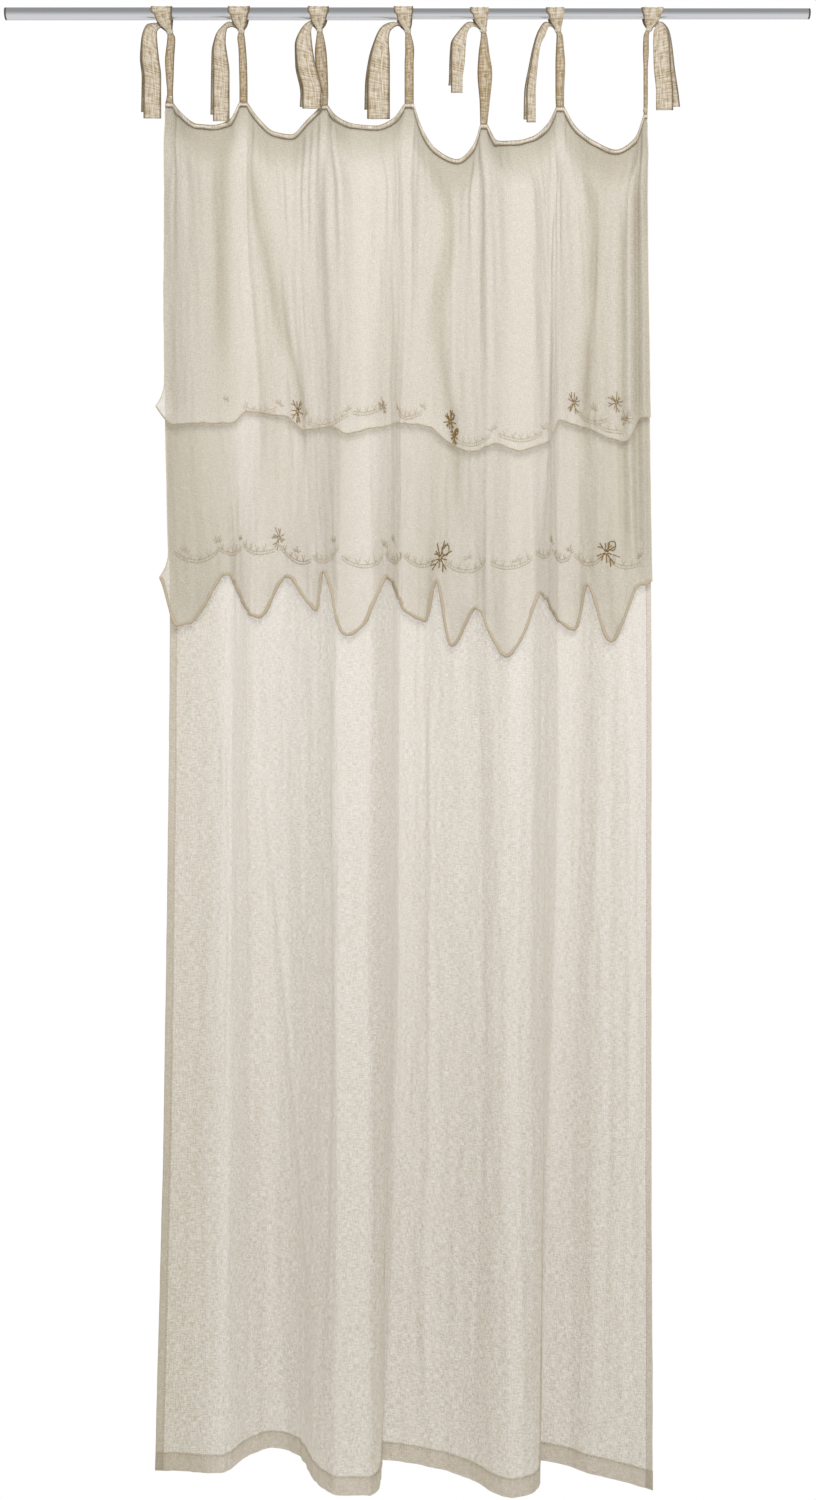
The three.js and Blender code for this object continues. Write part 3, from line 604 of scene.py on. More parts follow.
def stitched(name, layer, stitches, bottom_at=None, lift=0.7):
    """Stitches laid on a layer; each is (cut, up) to (cut, up), a thickness and how dark its thread is."""
    table = np.array(stitches, float)
    bottoms = (None, None) if bottom_at is None else (bottom_at(table[:, 0]), bottom_at(table[:, 2]))
    starts = on_cloth(layer, table[:, 0], table[:, 1], lift, bottoms[0])
    ends = on_cloth(layer, table[:, 2], table[:, 3], lift, bottoms[1])
    rows = list(zip(starts / 1000, ends / 1000, table[:, 4:]))
    whole, mesh = bmesh.new(), bpy.data.meshes.new(name)
    # The stitches are made a few at a time, because an operator slows down as its mesh grows.
    for first in range(0, len(rows), STITCHES_AT_ONCE):
        bm = bmesh.new()
        dark = bm.verts.layers.float.new("tone_and_painted_shade")
        for start, end, (thick, tone) in rows[first:first + STITCHES_AT_ONCE]:
            run = Vector(end) - Vector(start)
            turn = run.to_track_quat("Z", "Y").to_matrix().to_4x4()
            shape = Matrix.Diagonal((thick / 2000, thick / 2000, run.length / 2, 1))
            place = Matrix.Translation((Vector(start) + Vector(end)) / 2) @ turn @ shape
            stitch = bmesh.ops.create_uvsphere(bm, u_segments=5, v_segments=3, radius=1)["verts"]
            for vert in stitch:
                vert[dark] = tone
                if abs(vert.co.z) < 0.9:
                    vert.co.z *= BLUNT_END
            bmesh.ops.transform(bm, matrix=place, verts=stitch)
        bm.to_mesh(mesh)
        bm.free()
        whole.from_mesh(mesh)
    whole.to_mesh(mesh)
    whole.free()
    mesh.shade_smooth()
    return placed(name, mesh)


hem_stitches = []
long, look = HEM_STITCH["long"], (HEM_STITCH["thick"], HEM_STITCH["tone"])
for side_cut in (SIDE_HEM - STITCH_INSET, CLOTH_WIDTH - SIDE_HEM + STITCH_INSET):
    for up_place in np.arange(FIRST_SIDE_STITCH, HEM_LEVEL + 4, -HEM_STITCH["apart"]):
        hem_stitches.append((side_cut, up_place, side_cut, up_place - long, *look))
level = HEM_LEVEL + FOOT_HEM - STITCH_INSET
for cut_place in np.arange(4, CLOTH_WIDTH - 8, HEM_STITCH["apart"]):
    hem_stitches.append((cut_place, level, cut_place + long, level, *look))
hem_thread = stitched("hem_stitches", 0, hem_stitches)


def linen_thread(name, pale, deep, roughness):
    """Spun linen thread: opaque and softly lustrous, with a twist that shows as fine slanting marks."""
    material, tree, surface = new_surface(name, {"IOR": 1.5, "Sheen Weight": 0.2})
    place = add_node(tree, "TexCoord")
    # The twist repeats every 0.8 mm along the thread.
    twist = add_node(tree, "TexNoise", {"Scale": 1250.0, "Detail": 2.0}, {"Vector": place.outputs["Object"]})
    tone = add_node(tree, "Attribute", {"attribute_name": "tone_and_painted_shade"})
    spread = add_node(tree, "Math", {"operation": "MULTIPLY_ADD", 1: 0.35, "use_clamp": True},
                      {0: twist, 2: tone.outputs["Fac"]})
    tint = add_node(tree, "Mix", {"data_type": "RGBA", 6: linear(pale), 7: linear(deep)},
                    {0: spread})
    gloss = add_node(tree, "MapRange", {"To Min": roughness - 0.08, "To Max": roughness + 0.08},
                     {"Value": twist})
    relief = add_node(tree, "Bump", {"Strength": 0.4, "Distance": 0.0004}, {"Height": twist})
    join(tree, surface, {"Base Color": tint.outputs[2], "Roughness": gloss, "Normal": relief})
    return material


# Sewing thread: pale linen yarn, a little deeper than the cloth.
sewing_thread = linen_thread("pale linen sewing thread", "#cfc2ad", "#8f7c62", 0.7)
hem_thread.data.materials.append(sewing_thread)
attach(hem_thread, "root")


# Valances. Two shorter sheets of the same gauze lie over the panel: the lower one ends in soft points
# and the upper one in a long uneven wave. Their left corners flick out a little.
FLICK = {"across": 15, "cut": 45, "drop": 45, "lift": 6}
UPPER_EDGE = [
    (0, -698), (30, -732), (176, -732), (222, -710), (310, -710), (388, -738), (469, -738), (520, -754),
    (567, -745), (682, -724), (767, -730), (813, -756), (890, -781), (950, -771), (1000, -785),
    (1060, -770), (1130, -741), (1160, -719), (1234, -731), (1340, -762), (1372, -722), (1400, -720),
]
POINTED_EDGE = [
    (0, -999), (24, -1085), (120, -995), (263, -1066), (326, -992), (410, -1056), (434, -990),
    (521, -1103), (612, -998), (773, -1072), (806, -1002), (843, -1120), (893, -1053), (978, -1141),
    (1063, -1030), (1203, -1086), (1240, -1009), (1300, -1111), (1363, -1015), (1400, -1010),
]
POINT_SHARPNESS = 0.1
VALANCE_COLUMNS = 500
LOWER_ROWS = 84
UPPER_ROWS = 62


def wave_up(cut):
    """The lower edge of the upper valance."""
    cuts, ups = np.array(UPPER_EDGE, float).T
    return smooth_at(cuts, ups, np.clip(cut, 0, CLOTH_WIDTH)) + 1.2 * crumple(cut, 0 * cut - 100, 14, 500, 31)


def points_up(cut):
    """The lower edge of the lower valance: soft points and notches, with a slightly ragged line."""
    cuts, ups = np.array(POINTED_EDGE, float).T
    cut = np.clip(cut, 0, CLOTH_WIDTH)
    i = np.clip(np.searchsorted(cuts, cut, side="right") - 1, 0, len(cuts) - 2)
    share = np.clip((cut - cuts[i]) / (cuts[i + 1] - cuts[i]), 0, 1)
    eased = (1 - np.cos(np.pi * share)) / 2
    mixed = eased + (share - eased) * POINT_SHARPNESS
    return ups[i] + (ups[i + 1] - ups[i]) * mixed + 3.0 * crumple(cut, 0 * cut - 100, 13, 500, 32)


# Painted shade on the valances: how much denser and darker each is drawn on steep folds, near the heading,
# where it is also gathered, and in the valleys of creases, and then along each valance as rows of (cut,
# painted shade), darkest towards the sides.
SHADE_ON_VALANCE_FOLDS = 0.25
SHADE_AT_HEADING = 0.8
SHADE_IN_CREASES = 0.1
UPPER_PAINTED_SHADE = [(0, 0.5), (60, 0.2), (130, 0.3), (170, 0.3), (225, 0.0), (1200, 0.0), (1250, 0.35),
                  (1285, 0.3), (1320, 0.05), (1360, 0.3), (1400, 0.8)]
LOWER_PAINTED_SHADE = [(0, 0.9), (150, 0.75), (190, 0.3), (225, 0.0), (300, 0.45), (350, 0.25), (505, 0.4),
                  (570, 0.05), (700, 0.2), (790, 0.6), (860, 0.3), (950, 0.45), (1090, 0.1), (1200, 0.4),
                  (1260, 0.6), (1400, 0.9)]


def valance_cloth(name, layer, bottom_at, rows, table):
    """A valance from the heading down to its own lower edge."""
    cut = np.linspace(0, CLOTH_WIDTH, VALANCE_COLUMNS)[:, None]
    bottom, top = bottom_at(cut), heading_at(cut)[1]
    up = bottom + (top - bottom) * np.linspace(0, 1, rows)[None, :]
    points = on_cloth(layer, cut + 0 * up, up, bottom=bottom + 0 * up)
    # drawn holds the valance's painted shade.
    drawn = smooth_at(*np.array(table, float).T, cut) + SHADE_AT_HEADING * (1 - smoothstep(top - up, 5, 95))
    drawn = drawn - SHADE_IN_CREASES * np.minimum(crease_relief(cut + 0 * up, up), 0)
    drawn = SHADE_ON_VALANCE_FOLDS * fold_steepness(points) + drawn
    return cloth_piece(name, [(points, np.stack([cut + 0 * up, up], -1), drawn)])


lower_valance = valance_cloth("lower_valance_cloth", 1, points_up, LOWER_ROWS, LOWER_PAINTED_SHADE)
upper_valance = valance_cloth("upper_valance_cloth", 2, wave_up, UPPER_ROWS, UPPER_PAINTED_SHADE)

# Valance gauze: the same cloth as the panel, drawn lighter and less yellow as painted light on the
# layers that lie over the panel.
lightened_valance_gauze = linen_gauze("linen gauze lightened as painted light", "#f1ece4", "#e6e0d5", "#cfc8b7", 0.54, 0.84)
for valance, node in ((lower_valance, "lower_valance"), (upper_valance, "upper_valance")):
    valance.data.materials.append(lightened_valance_gauze)
    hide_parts(node)
    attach(valance, "root")


# Edgings. The raw edges of both valances are rolled and overcast with thread: a fine roll on the
# upper one, and a thick uneven one round the points of the lower one.
EDGING_ROUND = 8
EDGING_SIDE_STEPS = 90
EDGING_FOOT_STEPS = 620
EDGING_TOP_GAP = 12
EDGING_STEP = 2.2
EDGING_UNEVEN = 0.28
EDGING_SIDE_TONE = 0.35
EDGING_FOOT_TONE = 0.4
# The radius of each roll along its lower edge and up its sides.
LOWER_ROLL = (2.8, 0.9)
UPPER_ROLL = (1.2, 0.8)


def rolled_edging(name, layer, bottom_at, foot_radius, side_radius):
    """A thin roll of cloth and thread down the left side, along the lower edge and up the right side."""
    ends = [float(heading_at(np.array([c]))[1][0]) for c in (0.0, CLOTH_WIDTH)]
    feet = [float(bottom_at(np.array([c]))[0]) for c in (0.0, CLOTH_WIDTH)]
    down = np.linspace(ends[0] - EDGING_TOP_GAP, feet[0], EDGING_SIDE_STEPS)
    along = np.linspace(0, CLOTH_WIDTH, EDGING_FOOT_STEPS)
    back_up = np.linspace(feet[1], ends[1] - EDGING_TOP_GAP, EDGING_SIDE_STEPS)
    cut = np.concatenate([0 * down, along[1:-1], 0 * back_up + CLOTH_WIDTH])
    up = np.concatenate([down, bottom_at(along)[1:-1], back_up])
    on_foot = np.concatenate([0 * down, 1 + 0 * along[1:-1], 0 * back_up])
    middle = on_cloth(layer, cut, up, 0.0, bottom_at(cut))
    run = np.gradient(middle, axis=0)
    run /= np.linalg.norm(run, axis=1)[:, None]
    front = np.array([0.0, -1.0, 0.0]) - run * -run[:, 1:2]
    front /= np.linalg.norm(front, axis=1)[:, None]
    aside = np.cross(run, front)
    radius = side_radius + (foot_radius - side_radius) * on_foot
    uneven = crumple(np.arange(len(cut)) * EDGING_STEP % CLOTH_WIDTH, 0 * cut - 50, 6, 500, 40 + layer)
    radius = radius * (1 + EDGING_UNEVEN * uneven)
    turn = np.linspace(0, 2 * math.pi, EDGING_ROUND + 1)
    ring = np.cos(turn)[None, :, None] * front[:, None, :] + np.sin(turn)[None, :, None] * aside[:, None, :]
    points = middle[:, None, :] + radius[:, None, None] * ring
    length = np.cumsum(np.linalg.norm(np.diff(middle, axis=0, prepend=middle[:1]), axis=1))
    flat = np.stack([length[:, None] + 0 * turn[None, :], turn[None, :] + 0 * length[:, None]], -1)
    tone = EDGING_SIDE_TONE + EDGING_FOOT_TONE * on_foot
    piece = cloth_piece(name, [(points, flat, tone[:, None] + 0 * turn[None, :])])
    bm = bmesh.new()
    bm.from_mesh(piece.data)
    bmesh.ops.remove_doubles(bm, verts=bm.verts, dist=1e-5)
    bmesh.ops.holes_fill(bm, edges=bm.edges, sides=EDGING_ROUND)
    bmesh.ops.recalc_face_normals(bm, faces=bm.faces)
    bm.to_mesh(piece.data)
    bm.free()
    piece.data.shade_smooth()
    return piece


lower_edging = rolled_edging("lower_valance_edging", 1, points_up, *LOWER_ROLL)
upper_edging = rolled_edging("upper_valance_edging", 2, wave_up, *UPPER_ROLL)
# Overcast edge: thread wound closely over rolled cloth, deeper in colour than the gauze.
overcast_thread = linen_thread("overcast linen thread", "#dcd2c2", "#b7a88f", 0.8)
for edging in (lower_edging, upper_edging):
    edging.data.materials.append(overcast_thread)
    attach(edging, "root")


# Embroidery. Small star flowers, sprigs and ladder-stitch garlands worked by hand above the lower
# edge of each valance, in brown-beige linen thread and in cream.
# Flowers: cut, up, reach of the stitches in mm, and how dark the thread is; the faint ones are
# sprigs, and only the darkest have a bud.
FAINT = 0.52
PLAIN = 0.9
UPPER_FLOWERS = [
    (158, -696, 14, 0.3), (300, -694, 16, 0.35), (358, -702, 22, 0.8), (394, -716, 15, 0.4),
    (520, -716, 14, 0.25), (596, -702, 14, 0.55), (661, -706, 15, 0.45), (752, -700, 14, 0.3),
    (823, -722, 17, 1.0), (836, -748, 16, 1.0), (948, -750, 15, 0.25), (1068, -748, 16, 0.3),
    (1206, -686, 18, 0.75), (1262, -706, 15, 0.5), (1318, -692, 18, 0.7), (1338, -722, 15, 0.55),
]
LOWER_FLOWERS = [
    (30, -956, 13, 0.3), (104, -944, 16, 0.4), (192, -936, 14, 0.4), (304, -925, 20, 0.6),
    (352, -956, 14, 0.5), (478, -944, 15, 0.3), (598, -950, 16, 0.45), (640, -936, 14, 0.4),
    (812, -962, 30, 1.0), (880, -970, 14, 0.25), (1002, -980, 14, 0.2), (1118, -940, 17, 0.45),
    (1190, -952, 15, 0.5), (1292, -955, 27, 0.95), (1370, -968, 13, 0.45),
]
# Garlands: from (cut, up) to (cut, up), how deep they dip, and how dark the thread is.
UPPER_GARLANDS = [
    (208, -700, 296, -696, 8, 0.3), (400, -722, 520, -716, 13, 0.3), (528, -714, 592, -702, 8, 0.35),
    (668, -706, 752, -702, 8, 0.35), (852, -758, 940, -752, 10, 0.25), (960, -752, 1060, -748, 14, 0.3),
    (1216, -700, 1300, -718, 12, 0.35), (1330, -742, 1262, -722, 6, 0.35),
]
LOWER_GARLANDS = [
    (12, -952, 104, -948, 19, 0.45), (104, -948, 196, -942, 12, 0.45), (206, -938, 296, -944, 9, 0.4),
    (306, -938, 398, -966, 14, 0.75), (402, -960, 500, -948, 16, 0.3), (508, -966, 596, -960, 19, 0.4),
    (604, -956, 700, -950, 14, 0.5), (712, -952, 800, -960, 15, 0.35), (826, -968, 930, -968, 18, 0.3),
    (940, -974, 1036, -966, 15, 0.25), (1046, -956, 1120, -946, 10, 0.35), (1128, -946, 1196, -954, 12, 0.45),
    (1206, -952, 1286, -960, 14, 0.45), (1298, -966, 1372, -970, 12, 0.4),
]
PETAL_STITCHES = 9
THREAD_THICK = 1.6


def flower_stitches(draw, cut, up, reach, tone):
    """A star of long thin stitches with a bud worked in outline at one side of it."""
    lean = draw.uniform(0, math.pi / 4)
    thick = THREAD_THICK * (0.75 + 0.75 * tone)
    stitches = []
    for k in range(PETAL_STITCHES):
        turn = lean + 2 * math.pi * k / PETAL_STITCHES + draw.uniform(-0.2, 0.2)
        length = reach * draw.uniform(0.6, 1.25)
        middle = (cut + 0.45 * length * math.cos(turn), up + 0.45 * length * math.sin(turn))
        for bend in (0, draw.choice((-0.35, 0.35)))[:1 + k % 2]:
            tip = (cut + length * math.cos(turn + bend), up + length * math.sin(turn + bend))
            stitches.append((*middle, *tip, thick, 0.9 * tone))
        near = (cut + 0.08 * length * math.cos(turn), up + 0.08 * length * math.sin(turn))
        stitches.append((*near, *middle, thick, tone))
    if tone < PLAIN:
        return stitches
    bud_turn = draw.uniform(0.7, 1.1) * draw.choice((1, 1, 1.8))
    for bulge in (-0.34, 0.34):
        outline = [(0.3, 0), (0.5, bulge), (0.8, 0.8 * bulge), (1.0, 0)]
        spots = [(cut + reach * (along * math.cos(bud_turn) - aside * math.sin(bud_turn)),
                  up + reach * (along * math.sin(bud_turn) + aside * math.cos(bud_turn)))
                 for along, aside in outline]
        for near, far in zip(spots, spots[1:]):
            stitches.append((*near, *far, thick, tone))
    return stitches


def sprig_stitches(draw, cut, up, reach, tone):
    """A spray of single stitches that fan out upwards from one place."""
    lean = draw.uniform(1.0, 2.1)
    stitches = []
    for turn in (-0.9, -0.45, 0, 0.5, 0.95):
        length = reach * draw.uniform(0.7, 1.2)
        near, tip = [(cut + r * math.cos(lean + turn), up + r * math.sin(lean + turn))
                     for r in (0.3 * reach, length)]
        stitches.append((*near, *tip, 0.9 * THREAD_THICK, 0.9 * tone))
    return stitches


def garland_stitches(draw, cut, up, end_cut, end_up, dip, tone):
    """Two sagging lines of running stitches with rungs between them, and small leaves above."""
    count = max(5, round(abs(end_cut - cut) / 6))
    spots = []
    for k in range(count + 1):
        share = k / count
        sag = 4 * dip * share * (1 - share)
        spots.append((cut + share * (end_cut - cut), up + share * (end_up - up) - sag))
    stitches = []
    for (x, z), (x2, z2) in zip(spots, spots[1:]):
        for rail in (0, 5.5):
            stitches.append((x, z - rail, x2, z2 - rail, 0.6 * THREAD_THICK, 0.7 * tone))
        stitches.append((x, z, x, z - 5.5, 0.5 * THREAD_THICK, 0.5 * tone))
    for k in range(2, count - 1, 3):
        x, z = spots[k]
        for side in (-1, 1):
            stitches.append((x, z, x + side * draw.uniform(3, 6), z + draw.uniform(8, 13), 0.7 * THREAD_THICK,
                             0.6 * tone))
    return stitches


draw = random.Random(7)
embroideries = []
for name, layer, bottom_at, flowers, garlands in (
    ("upper_embroidery", 2, wave_up, UPPER_FLOWERS, UPPER_GARLANDS),
    ("lower_embroidery", 1, points_up, LOWER_FLOWERS, LOWER_GARLANDS),
):
    stitches = []
    for row in flowers:
        stitches += (flower_stitches if row[3] > FAINT else sprig_stitches)(draw, *row)
    for row in garlands:
        stitches += garland_stitches(draw, *row)
    embroideries.append(stitched(name, layer, stitches, bottom_at))
# Embroidery yarn: soft linen with a low lustre, cream where it is faint and brown where it is strong.
embroidery_yarn = linen_thread("linen embroidery yarn", "#ded4c0", "#836528", 0.62)
for embroidery in embroideries:
    embroidery.data.materials.append(embroidery_yarn)
    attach(embroidery, "root")


# Heading binding. A narrow strip of closer linen tape is folded over the top edges of the three
# layers and stitched through, and it holds the gathers between the ties.
BINDING_DROP = 6
BINDING_THICK = 1.1
BINDING_GAP = 0.8
BINDING_TOP_GAP = 1.9
BINDING_WIDTH = 20
TAPE_THICK = 0.7
STEEPEST_BINDING = 2
BINDING_STEPS = 480
HALF_GAUZE = 0.5
CORNER = 0.9
PUCKER = 0.5

cut = np.linspace(0, CLOTH_WIDTH, BINDING_STEPS)
across, top, bow = heading_at(cut)
slope = np.gradient(top) / np.maximum(np.gradient(across), 1e-3)
leg = -BINDING_DROP * np.minimum(np.hypot(1, slope), STEEPEST_BINDING)
leg = leg + 0.6 * crumple(cut, 0 * cut - 100, 16, 500, 51)
front = 2 * HEADING_STEP + HALF_GAUZE + BINDING_GAP + BINDING_THICK / 2
back = -HALF_GAUZE - BINDING_GAP - BINDING_THICK / 2
roof = BINDING_TOP_GAP + BINDING_THICK / 2
# The tape's section from its back edge over the heading to its front edge, as (forward, rise, side):
# side is -1 on the back leg, 1 on the front leg and 0 on the fold.
profile = [(back, leg, -1), (back, 0.5 * leg, -1), (back, 0, -1), (back, roof - CORNER, 0),
           (back + CORNER, roof, 0), ((front + back) / 2, roof + 0.3, 0), (front - CORNER, roof, 0),
           (front, roof - CORNER, 0), (front, 0, 1), (front, 0.5 * leg, 1), (front, leg, 1)]
pucker = PUCKER * crumple(cut, 0 * cut - 100, 9, 500, 52)
points = np.stack([np.stack([across, -(bow + forward + side * pucker), top + rise], -1)
                   for forward, rise, side in profile], 1)
folded = np.linspace(0, BINDING_WIDTH, len(profile))
flat = np.stack([folded[None, :] + 0 * cut[:, None], cut[:, None] + 0 * folded[None, :]], -1)
# Painted shade along the fold over the top of the heading: the tape is drawn darker there.
painted_fold_shade = np.array([0.0 if side else 1.2 for _, _, side in profile])
binding = cloth_piece("binding_tape", [(points, flat, painted_fold_shade[None, :] + 0 * flat[..., 0])])
thickness = binding.modifiers.new("tape thickness", "SOLIDIFY")
thickness.thickness = TAPE_THICK / 1000
thickness.offset = 0.0


def linen_tape(name, light_thread, dark_thread, edge_thread, width):
    """Closely woven linen tape: cross ribs, uneven threads, and darker where it rolls over its edges."""
    material, tree, surface = new_surface(name, {"IOR": 1.45, "Roughness": 0.86, "Sheen Weight": 0.15})
    flat = add_node(tree, "UVMap", {"uv_map": "cloth"})
    # Threads of 0.6 mm are drawn in bundles of 2 mm, so that they show.
    warp = threads(tree, flat, (500.0, 40.0), 2.0)
    weft = threads(tree, flat, (55.0, 440.0), 2.0)
    woven = add_node(tree, "Math", {"operation": "ADD"}, {0: warp, 1: weft})
    shade = add_node(tree, "MapRange", {"From Min": 0.74, "From Max": 1.45}, {"Value": woven})
    # The tone_and_painted_shade value deepens the colour: on the binding it is painted shade along its fold
    # over the top, and on the ties it darkens their edges and straps.
    tone_and_painted_shade = add_node(tree, "Attribute", {"attribute_name": "tone_and_painted_shade"})
    deeper = add_node(tree, "Math", {"operation": "MULTIPLY_ADD", 1: 0.6, "use_clamp": True},
                      {0: tone_and_painted_shade.outputs["Fac"], 2: shade})
    tint = add_node(tree, "Mix", {"data_type": "RGBA", 6: linear(light_thread), 7: linear(dark_thread)},
                    {0: deeper})
    side = add_node(tree, "SeparateXYZ", links={0: flat})
    off_middle = add_node(tree, "Math", {"operation": "SUBTRACT", 1: width / 2000}, {0: side.outputs["X"]})
    distance = add_node(tree, "Math", {"operation": "ABSOLUTE"}, {0: off_middle})
    rolled = add_node(tree, "MapRange", {"From Min": 0.36 * width / 1000, "From Max": 0.5 * width / 1000},
                      {"Value": distance})
    edged = add_node(tree, "Mix", {"data_type": "RGBA", 7: linear(edge_thread)},
                     {0: rolled, 6: tint.outputs[2]})
    relief = add_node(tree, "Bump", {"Strength": 0.5, "Distance": 0.0006}, {"Height": woven})
    join(tree, surface, {"Base Color": edged.outputs[2], "Normal": relief})
    return material


# Binding tape: deeper than the gauze because it is close and double.
binding_linen = linen_tape("close linen tape", "#ddd5c8", "#8f7e61", "#7c6b50", BINDING_WIDTH)
binding.data.materials.append(binding_linen)
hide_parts("heading_binding")
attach(binding, "root")


# Ties. Seven pairs of folded linen ribbons are sewn to the peaks of the heading, go up behind the rod
# and over it, and are knotted in front, with two loose ends that arch over and hang beside the knot.
RIBBON_THICK = 1.2
STRAP_THICK = 2
SEAM_GAP = 0.4
ENDS_APART = 5
WRAP = {"gap": 0.55, "furthest_turn": 1.955, "gather_from": 1.5, "gather_to": 3.1, "shoulder_down": 0.45,
        "shoulder_pull": 0.4, "foot_half": 4.5}
# How each sheet of a tie lies: how far its middle bellies out, how high its soft folds are, how many
# of them run along it, and how dark its edges are. Its middle has 0.45 of that darkness.
STRAP_LIE = (0.9, 0.5, 1.5, 1.15)
LOOSE_LIE = (1.0, 0.9, 1.4, 0.35)
WRAP_LIE = (0.5, 0.55, 3.0, 0.5)
MIDDLE_TONE = 0.45
RIBBON_COLUMNS = 15
RIBBON_CLOTH_THICK = 0.9
STRAP_ROWS = 44
LOOSE_ROWS = 60
WRAP_ROWS = 56
WRAP_STEPS = 37
KNOT = {"across": 6.5, "depth": 5, "height": 6.5}
PINCH = {"across": 4.2, "depth": 3.6, "height": 5}
# Each tie: ribbon is its flat width, wrap the band's two sides on the rod, and knot and pinch the
# middles of its knot and of a second small one. Then strap has rows of (up, left, right), outer and
# inner are the sides of the loose ends as (across, up), and ends says how low those two ends hang.
# forward is how far they stand out, and spread how far the back one shows beside the front one.
TIES = [
    {"ribbon": 28, "wrap": (-453, -416), "knot": (-421, -32),
     "strap": [(-44, -425, -411), (-83, -429, -413), (-115, -427, -414), (-140, -425, -415)],
     "outer": [(-440, -16), (-460, -22), (-468, -50), (-469, -83), (-465, -115)],
     "inner": [(-436, -24), (-442, -34), (-441, -52), (-438, -83), (-434, -115)],
     "ends": (-190, -177), "forward": 14, "spread": 1, "pinch": (-419, -149)},
    {"ribbon": 28, "wrap": (-317, -279), "knot": (-294, -30),
     "strap": [(-42, -301, -288), (-60, -299, -286), (-90, -298, -284), (-140, -297, -283)],
     "outer": [(-315, -14), (-328, -29), (-336, -50), (-341, -76), (-341, -115)],
     "inner": [(-311, -23), (-318, -33), (-319, -60), (-316, -83), (-312, -115)],
     "ends": (-200, -187), "forward": 28, "spread": 1},
    {"ribbon": 28, "wrap": (-176, -139), "knot": (-156, -28),
     "strap": [(-40, -161, -148), (-70, -164, -143), (-105, -161, -141), (-145, -151, -140)],
     "outer": [(-171, -13), (-190, -33), (-197, -60), (-195, -95), (-185, -145)],
     "inner": [(-166, -21), (-170, -32), (-168, -57), (-163, -90), (-151, -145)],
     "ends": (-173, -168), "forward": 14, "spread": 1},
    {"ribbon": 28, "wrap": (-24, 10), "knot": (0, -30),
     "strap": [(-42, -4, 8), (-65, -4, 12), (-90, -5, 11), (-145, -5, 11)],
     "outer": [(-24, -14), (-44, -24), (-58, -54), (-66, -85), (-71, -130)],
     "inner": [(-17, -21), (-31, -35), (-33, -54), (-31, -85), (-31, -130)],
     "ends": (-191, -173), "forward": 14, "spread": 1},
    {"ribbon": 25, "wrap": (111, 143), "knot": (134, -29),
     "strap": [(-40, 130, 141), (-70, 126, 145), (-105, 124, 150), (-160, 128, 145)],
     "outer": [(110, -14), (90, -34), (78, -58), (77, -90), (77, -125)],
     "inner": [(116, -22), (106, -37), (103, -60), (101, -90), (97, -125)],
     "ends": (-145, -130), "forward": 14, "spread": 1},
    {"ribbon": 19, "wrap": (245, 277), "knot": (266, -28),
     "strap": [(-40, 264, 275), (-60, 263, 277), (-90, 262, 279), (-145, 262, 277)],
     "outer": [(245, -14), (234, -28), (226, -52), (217, -97), (210, -145)],
     "inner": [(252, -22), (243, -42), (235, -60), (229, -100), (226, -145)],
     "ends": (-197, -190), "forward": 14, "spread": 1},
    {"ribbon": 26, "wrap": (414, 452), "knot": (428, -26),
     "strap": [(-40, 418, 427), (-65, 417, 427), (-100, 418, 425), (-150, 418, 425)],
     "outer": [(447, -14), (459, -30), (462, -60), (464, -100), (468, -145)],
     "inner": [(441, -22), (435, -34), (433, -60), (434, -100), (438, -145)],
     "ends": (-176, -168), "forward": 14, "spread": 2.6, "pinch": (421, -171)},
]


def even_points(points, count):
    """Points at even steps along the smooth line through the given ones."""
    points = np.array(points, float)
    places = np.concatenate([[0], np.cumsum(np.linalg.norm(np.diff(points, axis=0), axis=1))])
    at = np.linspace(0, places[-1], count)
    return np.stack([smooth_at(places, points[:, k], at) for k in range(3)], -1)


def ribbon_sheet(left, right, width, lie, seed):
    """A ribbon between two edge lines, with a rounded middle and soft folds along its length."""
    belly, ripple, folds, edge_tone = lie
    share = np.linspace(0, 1, RIBBON_COLUMNS)
    points = left[:, None, :] * (1 - share)[None, :, None] + right[:, None, :] * share[None, :, None]
    along = np.gradient((left + right) / 2, axis=0)
    face = np.cross(right - left, along)
    face /= np.maximum(np.linalg.norm(face, axis=1), 1e-9)[:, None]
    length = np.concatenate([[0], np.cumsum(np.linalg.norm(np.diff((left + right) / 2, axis=0), axis=1))])
    draw = np.random.default_rng(seed)
    phase, drift = draw.uniform(0, 6.28), draw.uniform(-0.012, 0.012)
    wave = np.cos(2 * math.pi * folds * share[None, :] + phase + drift * length[:, None])
    crush = crumple(40 * share[None, :] + 100 * (seed % 9), -20 - length[:, None], 9, 24, 60 + seed)
    stand = belly * (1 - (2 * share[None, :] - 1) ** 2) + ripple * (0.6 * wave + 0.4 * crush)
    points = points + face[:, None, :] * stand[..., None]
    flat = np.stack([share[None, :] * width + 0 * length[:, None], length[:, None] + 0 * share[None, :]], -1)
    rolled = MIDDLE_TONE + (1 - MIDDLE_TONE) * (2 * share - 1) ** 2
    return points, flat, edge_tone * rolled[None, :] + 0 * flat[..., 0]


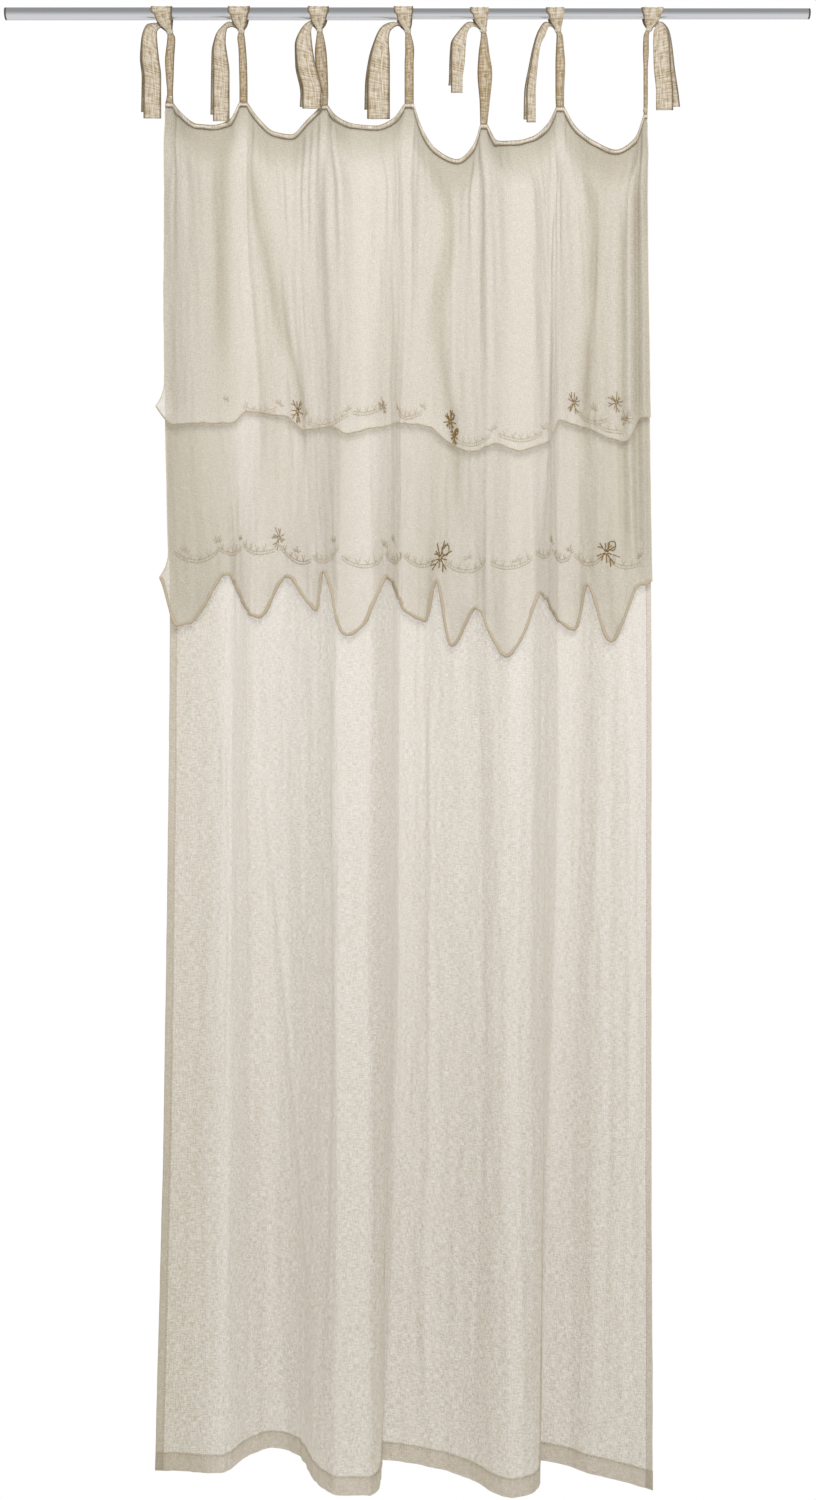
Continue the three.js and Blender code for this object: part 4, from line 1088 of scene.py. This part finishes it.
def rod_wrap_sheet(tie, seed):
    """The band that goes over the rod, gathered towards the knot."""
    radius = (WIDE_TUBE if tie["wrap"][0] < WIDE_TUBE_END else NARROW_TUBE)["outside"] / 2
    around = radius + WRAP["gap"] + RIBBON_THICK
    knot_x, knot_up = tie["knot"]
    turns = np.linspace(-WRAP["furthest_turn"], WRAP["furthest_turn"], WRAP_STEPS)
    pull = smoothstep(np.abs(turns), WRAP["gather_from"], WRAP["gather_to"])
    edges = []
    for side, outward in zip(tie["wrap"], (-1, 1)):
        foot_x = knot_x + outward * WRAP["foot_half"]
        x = side + (foot_x - side) * pull
        line = np.stack([x, -around * np.sin(turns), around * np.cos(turns)], -1)
        feet = np.array([[foot_x, sign * STRAP_THICK, knot_up] for sign in (1, -1)])
        shoulders = line[[0, -1]] + WRAP["shoulder_down"] * (feet - line[[0, -1]])
        shoulders[:, 0] = side + WRAP["shoulder_pull"] * (foot_x - side)
        edges.append(even_points(np.stack([feet[0], shoulders[0], *line, shoulders[1], feet[1]]), WRAP_ROWS))
    return ribbon_sheet(*edges, tie["ribbon"], WRAP_LIE, seed)


def tie_sheets(index, tie):
    """The sheets of cloth that one tie is made of: the band, the strap and the two loose ends."""
    peak_x, peak_up, half = PEAKS[index][1:]
    knot_x, knot_up = tie["knot"]
    in_knot = KNOT["across"] / 2
    foot = peak_up + BINDING_TOP_GAP + BINDING_THICK + SEAM_GAP
    rows = [(knot_up + STRAP_THICK, knot_x - in_knot, knot_x + in_knot), *tie["strap"],
            (foot, peak_x - half, peak_x + half)]
    back = np.linspace(0, -HEADING_STEP, len(rows))
    strap_edges = [even_points([(row[k], y, row[0]) for row, y in zip(rows, back)], STRAP_ROWS)
                   for k in (1, 2)]
    strap = ribbon_sheet(*strap_edges, tie["ribbon"], STRAP_LIE, 100 + index)

    def loose_end(end, forward, shift, seed):
        edges = []
        for side, start_up in (("outer", knot_up + KNOT["depth"]), ("inner", knot_up)):
            points = [(x + shift * i, -forward * min(i / 2, 1), z) for i, (x, z) in enumerate(tie[side])]
            points.insert(0, (knot_x, 0, start_up))
            points.append((tie[side][-1][0] + shift * len(tie[side]), -forward, end))
            edges.append(even_points(points, LOOSE_ROWS))
        return ribbon_sheet(*edges, tie["ribbon"], LOOSE_LIE, seed)

    away = math.copysign(1, tie["outer"][4][0] - knot_x)
    front_end = loose_end(tie["ends"][0], tie["forward"], 0, 200 + index)
    back_end = loose_end(tie["ends"][1], tie["forward"] - ENDS_APART, away * tie["spread"], 300 + index)
    return [rod_wrap_sheet(tie, 400 + index), strap, front_end, back_end]


def knot_ball(name, x, up, across, depth, height):
    """The ribbons drawn tight round each other: a small ball with winding folds."""
    bm = bmesh.new()
    bmesh.ops.create_uvsphere(bm, u_segments=28, v_segments=18, radius=1)
    on_ribbon = bm.loops.layers.uv.new("cloth")
    # Four folds wind round the ball, each a tenth of its size high.
    for vert in bm.verts:
        turn = math.atan2(vert.co.z, vert.co.x)
        vert.co *= 0.9 + 0.1 * math.cos(4 * turn + 7 * vert.co.y)
    # Only the middle 12 mm of the ribbon's width shows on it, so that no rolled edge does.
    for face in bm.faces:
        for loop in face.loops:
            loop[on_ribbon].uv = (0.014 + 0.006 * loop.vert.co.x, 0.02 * loop.vert.co.z + up / 100)
    size = Matrix.Diagonal((across / 1000, depth / 1000, height / 1000, 1))
    bmesh.ops.transform(bm, matrix=Matrix.Translation((x / 1000, 0, up / 1000)) @ size, verts=bm.verts)
    mesh = mesh_from(name, bm)
    mesh.shade_smooth()
    mesh.materials.append(tie_linen)
    return placed(name, mesh)


# Tie ribbon: the same close linen, paler in the middle and darker along its rolled edges.
tie_linen = linen_tape("folded linen ribbon", "#d3cabb", "#8f7a58", "#57472b", 28)
for index, tie in enumerate(TIES):
    sheets = tie_sheets(index, tie)
    ribbon = cloth_piece(f"tie_ribbon_{index + 1}", sheets)
    thickness = ribbon.modifiers.new("ribbon thickness", "SOLIDIFY")
    thickness.thickness = RIBBON_CLOTH_THICK / 1000
    thickness.offset = 0.0
    ribbon.data.materials.append(tie_linen)
    knots = [knot_ball(f"tie_knot_{index + 1}", *tie["knot"], *KNOT.values())]
    if "pinch" in tie:
        knots.append(knot_ball(f"tie_pinch_{index + 1}", *tie["pinch"], *PINCH.values()))
    for piece in (ribbon, *knots):
        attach(piece, "root")
    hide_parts(f"tie_{index + 1}")
